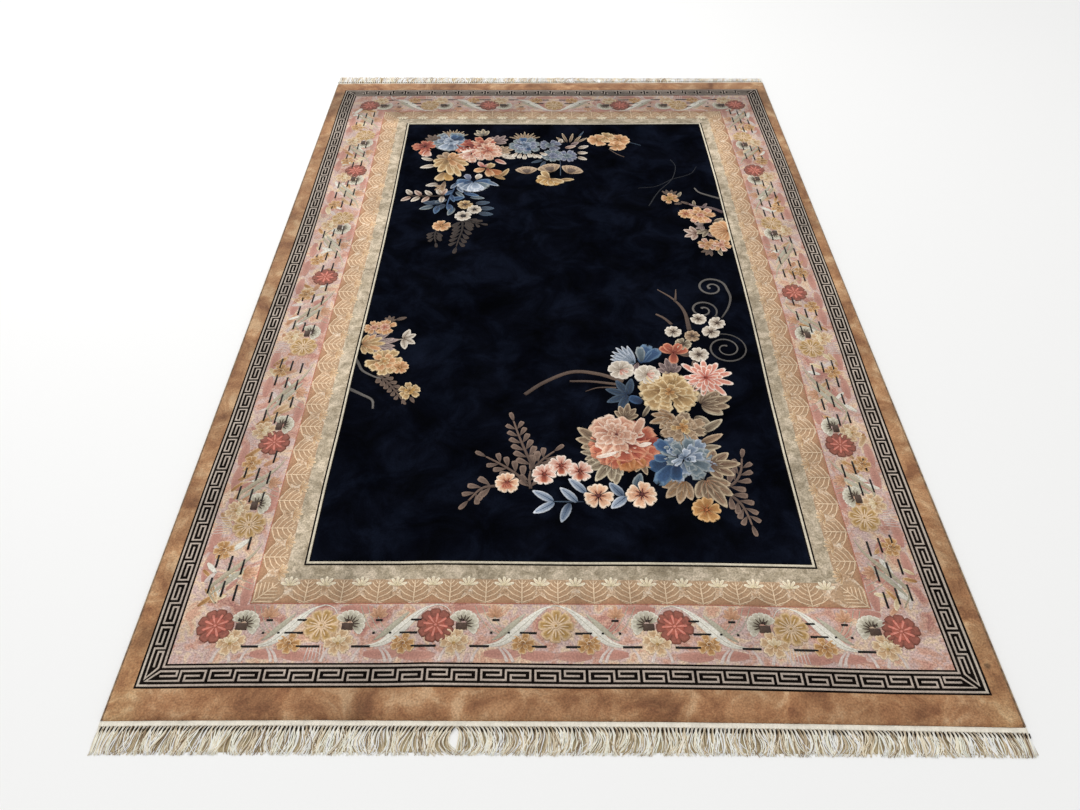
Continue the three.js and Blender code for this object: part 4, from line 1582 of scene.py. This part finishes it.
LEAN = [(-915, 0, 0), (-860, -6, -9), (-730, -9, -16), (-610, -10, -14), (-520, 0, -4),
        (-440, -6, -12), (-350, -7, -8), (-270, -8, -10), (-160, 8, 0), (-50, 6, -4),
        (60, 6, -7), (150, 5, -8), (250, -5, -8), (350, -2, 0), (470, 6, 0), (560, 2, -3),
        (630, 5, -7), (700, -2, -5), (770, 6, 7), (850, 8, 9), (915, 0, 0)]
PARTINGS = [(-350, 4), (-215, 11), (533, 4)]


def sway(root, share):
    """How far to the right a yarn lies of its root, in mm, part of the way along it."""
    stations, middles, tips = zip(*LEAN)
    middle, tip = np.interp(root, stations, middles), np.interp(root, stations, tips)
    lean = tip * share * (2 * share - 1) + middle * 4 * share * (1 - share)
    for at, half_width in PARTINGS:
        away = root - at
        lean = lean + (np.sign(away) * half_width * math.exp(-abs(away) / PARTING_SPREAD)
                       * np.sin(math.pi * share))
    return lean


deselect_all()
bpy.ops.mesh.primitive_circle_add(vertices=6, radius=1, fill_type="NGON")
form = bpy.context.object
bpy.ops.object.mode_set(mode="EDIT")
bpy.ops.mesh.select_all(action="SELECT")
for step in range(YARN_STEPS):
    bpy.ops.mesh.extrude_region_move(TRANSFORM_OT_translate={"value": (0, 0, 1)})
face_outward()
yarn_form = vertices_of(form.data)
yarn_faces = [tuple(face.vertices) for face in form.data.polygons]
bpy.data.objects.remove(form)
print("yarn:", len(yarn_form), "vertices,", len(yarn_faces), "faces")

# %% Make the yarns, knots and webs
FLUFF = 0.001
DULLING = 0.02
cotton, tree, output = new_material("undyed_cotton_warp")
place = add_node(tree, "ShaderNodeTexCoord", {}, {})
# Spun cotton: plies and fluff about 1 mm across, and a faint dulling in 20 mm patches.
fluff = add_node(tree, "ShaderNodeTexNoise", {}, {
    "Vector": place.outputs["Object"], "Scale": 1 / FLUFF, "Detail": 3.0})
age = add_node(tree, "ShaderNodeTexNoise", {}, {
    "Vector": place.outputs["Object"], "Scale": 1 / DULLING, "Detail": 3.0})
dulled = add_node(tree, "ShaderNodeMapRange", {}, {
    "Value": age.outputs["Fac"], "From Min": 0.3, "From Max": 0.7,
    "To Min": 0.86, "To Max": 1.06})
# The attribute holds the yarns' dyes, with painted shade at their roots, on the short ends under them
# and in the gaps between the knots.
yarn_dye_and_shade = add_node(tree, "ShaderNodeAttribute", {"attribute_name": "dye"}, {})
shaded = add_node(tree, "ShaderNodeHueSaturation", {}, {
    "Value": dulled.outputs["Result"], "Color": yarn_dye_and_shade.outputs["Color"]})
bump = add_node(tree, "ShaderNodeBump", {}, {
    "Height": fluff.outputs["Fac"], "Strength": 0.6, "Distance": 0.0005})
shader = add_node(tree, "ShaderNodeBsdfPrincipled", {}, {
    "Base Color": shaded.outputs["Color"], "Roughness": 0.85, "Specular IOR Level": 0.2,
    "Normal": bump.outputs["Normal"]})
tree.links.new(shader.outputs["BSDF"], output.inputs["Surface"])

YARN_DYES = [np.array(linear(tone)) for tone in
             "#FFFBF0 #FBF4E4 #F4EAD6 #E8DCC4 #CCBA9C #98836A".split()]
# A near-black dye for painted shadow in the gaps between the knots.
KNOT_GAP_SHADE_DYE = np.array(linear("#1E1711"))
# A brown dye for painted shade on the short ends that lie under the others.
PAINTED_SHADE_DYE = np.array(linear("#A89878"))


def end_piece(name, points, faces, dyes, node, end):
    """A piece at one end of the rug, drawn as the front end is seen from there."""
    floor_x, floor_y = laid(points[:, 0] * -end, points[:, 1] * end)
    placed = np.stack([floor_x, floor_y, points[:, 2]], axis=1) / 1000
    return add_piece(name, placed, faces, dyes, cotton, node)


def fringe_yarns(end, seed, bleached):
    """All yarns of one end, as one skin of closed tubes: along x, and y away from the rug."""
    chance = random.Random(seed)
    share = yarn_form[:, 2] / YARN_STEPS
    pitch = 2 * HALF_WIDTH / BUNDLES
    knot = np.exp(-((share - 0.15) / 0.12) ** 2)
    points, faces, dyes = [], [], []

    def add_yarn(x, y, z, dye):
        start = len(yarn_form) * len(points)
        points.append(np.stack([x, y, np.maximum(z, 0.05)], axis=1))
        faces.extend(tuple(v + start for v in face) for face in yarn_faces)
        dyes.append(np.minimum(dye * bleached, 0.95))

    for i in range(BUNDLES):
        root = -HALF_WIDTH + (i + 0.5) * pitch
        skew = -(root / HALF_WIDTH) * (END_SKEW + END_SKEW_GROWTH * end)
        inward = min(1.0, (HALF_WIDTH - abs(root)) / 60)
        tangle = inward * (8 * math.sin(root / 9.5 + seed) + 6 * math.sin(root / 5.1))
        curl = inward * 8 * math.sin(root / 13 + 2 * seed)
        wave = inward * 3.6 * math.sin(root / 61 + seed) * np.sin(2 * math.pi * share + root / 19)
        for k in range(YARNS_IN_BUNDLE):
            apart = (k - (YARNS_IN_BUNDLE - 1) / 2) * 1.3
            stray = chance.choice((1, 1, 1, 1, 3))
            tip_lean = tangle + inward * chance.gauss(0, 5) * stray
            middle_lean = curl + inward * chance.gauss(0, 5)
            lean = sway(root, share) + apart * (1 - 0.75 * knot) + wave * share
            lean = lean + tip_lean * share ** 2 + middle_lean * 5 * share ** 2 * (1 - share)
            trim = 2 * abs(math.sin(1.7 * i)) + chance.uniform(0, 3.0)
            reach = FRINGE_REACH - WEB_FAR - skew - trim
            radius = chance.uniform(0.85, 1.2) * np.interp(
                share, (0, 0.2, 0.6, 1), (1.1, 1, 1, 0.75))
            rise = chance.uniform(0, 2.4) * np.sin(math.pi * share) + 1.4 * knot
            dye = YARN_DYES[min(int(chance.random() ** 1.3 * 6), 5)]
            # The yarns are darker near the web: painted shade at their roots and knots.
            dye = dye * np.interp(share, (0, 0.12, 0.3), (0.6, 0.85, 1))[:, None]
            add_yarn(root + lean + yarn_form[:, 0] * radius,
                     WEB_FAR - 3 + share * (reach + 3),
                     radius + rise + yarn_form[:, 1] * radius, dye)
        # Short ends that lie flat on the floor under the others, dyed a painted shade brown that is
        # darker still at their roots.
        lean = sway(root, share) + wave * share + (curl * 0.6 + 3) * share ** 2
        add_yarn(root + lean + yarn_form[:, 0] * 4.4,
                 WEB_FAR - 3 + share * (FRINGE_REACH - WEB_FAR - skew - 4),
                 0.5 + yarn_form[:, 1] * 0.45,
                 PAINTED_SHADE_DYE * np.interp(share, (0, 0.3, 1), (0.5, 0.8, 1.25))[:, None])
        # A slanted dark strand between this bundle and the next: painted shadow for the gap between
        # their knots.
        lean = (sway(root, 0.25) - 1) * share
        add_yarn(root + pitch / 2 + lean + yarn_form[:, 0] * 1.35,
                 WEB_FAR - 1 + share * 9,
                 3.4 - 0.4 * share + yarn_form[:, 1] * 0.9,
                 np.tile(KNOT_GAP_SHADE_DYE, (len(share), 1)))
    return np.concatenate(points), faces, np.concatenate(dyes)


def woven_web():
    """The woven web, ribbed by its wefts."""
    ribs = 6
    section = [(0, 0), (0, 1.6)]
    for rib in range(ribs):
        near = 0.5 + rib * (WEB_WIDTH - 1.0) / ribs
        section += [(near, 1.9), (near + 1.0, WEB_HEIGHT)]
    section += [(WEB_WIDTH, 1.6), (WEB_WIDTH, 0)]
    stations = np.linspace(-HALF_WIDTH, HALF_WIDTH, 2 * BUNDLES + 1)
    count = len(section)
    points = np.empty((len(stations), count, 3))
    points[:, :, 0] = stations[:, None]
    for k, (out, height) in enumerate(section):
        weave = 0.16 * np.cos(math.pi * (np.arange(len(stations)) + k)) * (0 < k < count - 1)
        points[:, k, 1] = WEB_NEAR + out
        points[:, k, 2] = height + weave * (height > 0)
    faces = [(i * count + k, i * count + (k + 1) % count,
              (i + 1) * count + (k + 1) % count, (i + 1) * count + k)
             for i in range(len(stations) - 1) for k in range(count)]
    last = (len(stations) - 1) * count
    faces += [tuple(range(count - 1, -1, -1)), tuple(last + k for k in range(count))]
    return points.reshape(-1, 3), faces, np.tile(YARN_DYES[1], (len(stations) * count, 1))


fringes = []
for end_name, end in (("front", -1), ("back", 1)):
    node = "fringe_" + end_name
    fringes.append(end_piece(node + "_web", *woven_web(), node, end))
    # The back fringe was washed whiter than the front one.
    yarns = fringe_yarns(end, *((11, 1.08) if end < 0 else (12, 1.5)))
    fringes.append(end_piece(node + "_yarns", *yarns, node, end))
for piece in fringes:
    deselect_all()
    piece.select_set(True)
    bpy.context.view_layer.objects.active = piece
    bpy.ops.object.mode_set(mode="EDIT")
    face_outward()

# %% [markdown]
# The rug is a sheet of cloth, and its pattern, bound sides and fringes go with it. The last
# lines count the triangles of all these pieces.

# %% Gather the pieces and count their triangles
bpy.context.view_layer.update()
rug = [cloth, *pattern, *selvedges, *fringes]
print("triangles:", sum(len(face.vertices) - 2 for piece in rug for face in piece.data.polygons))
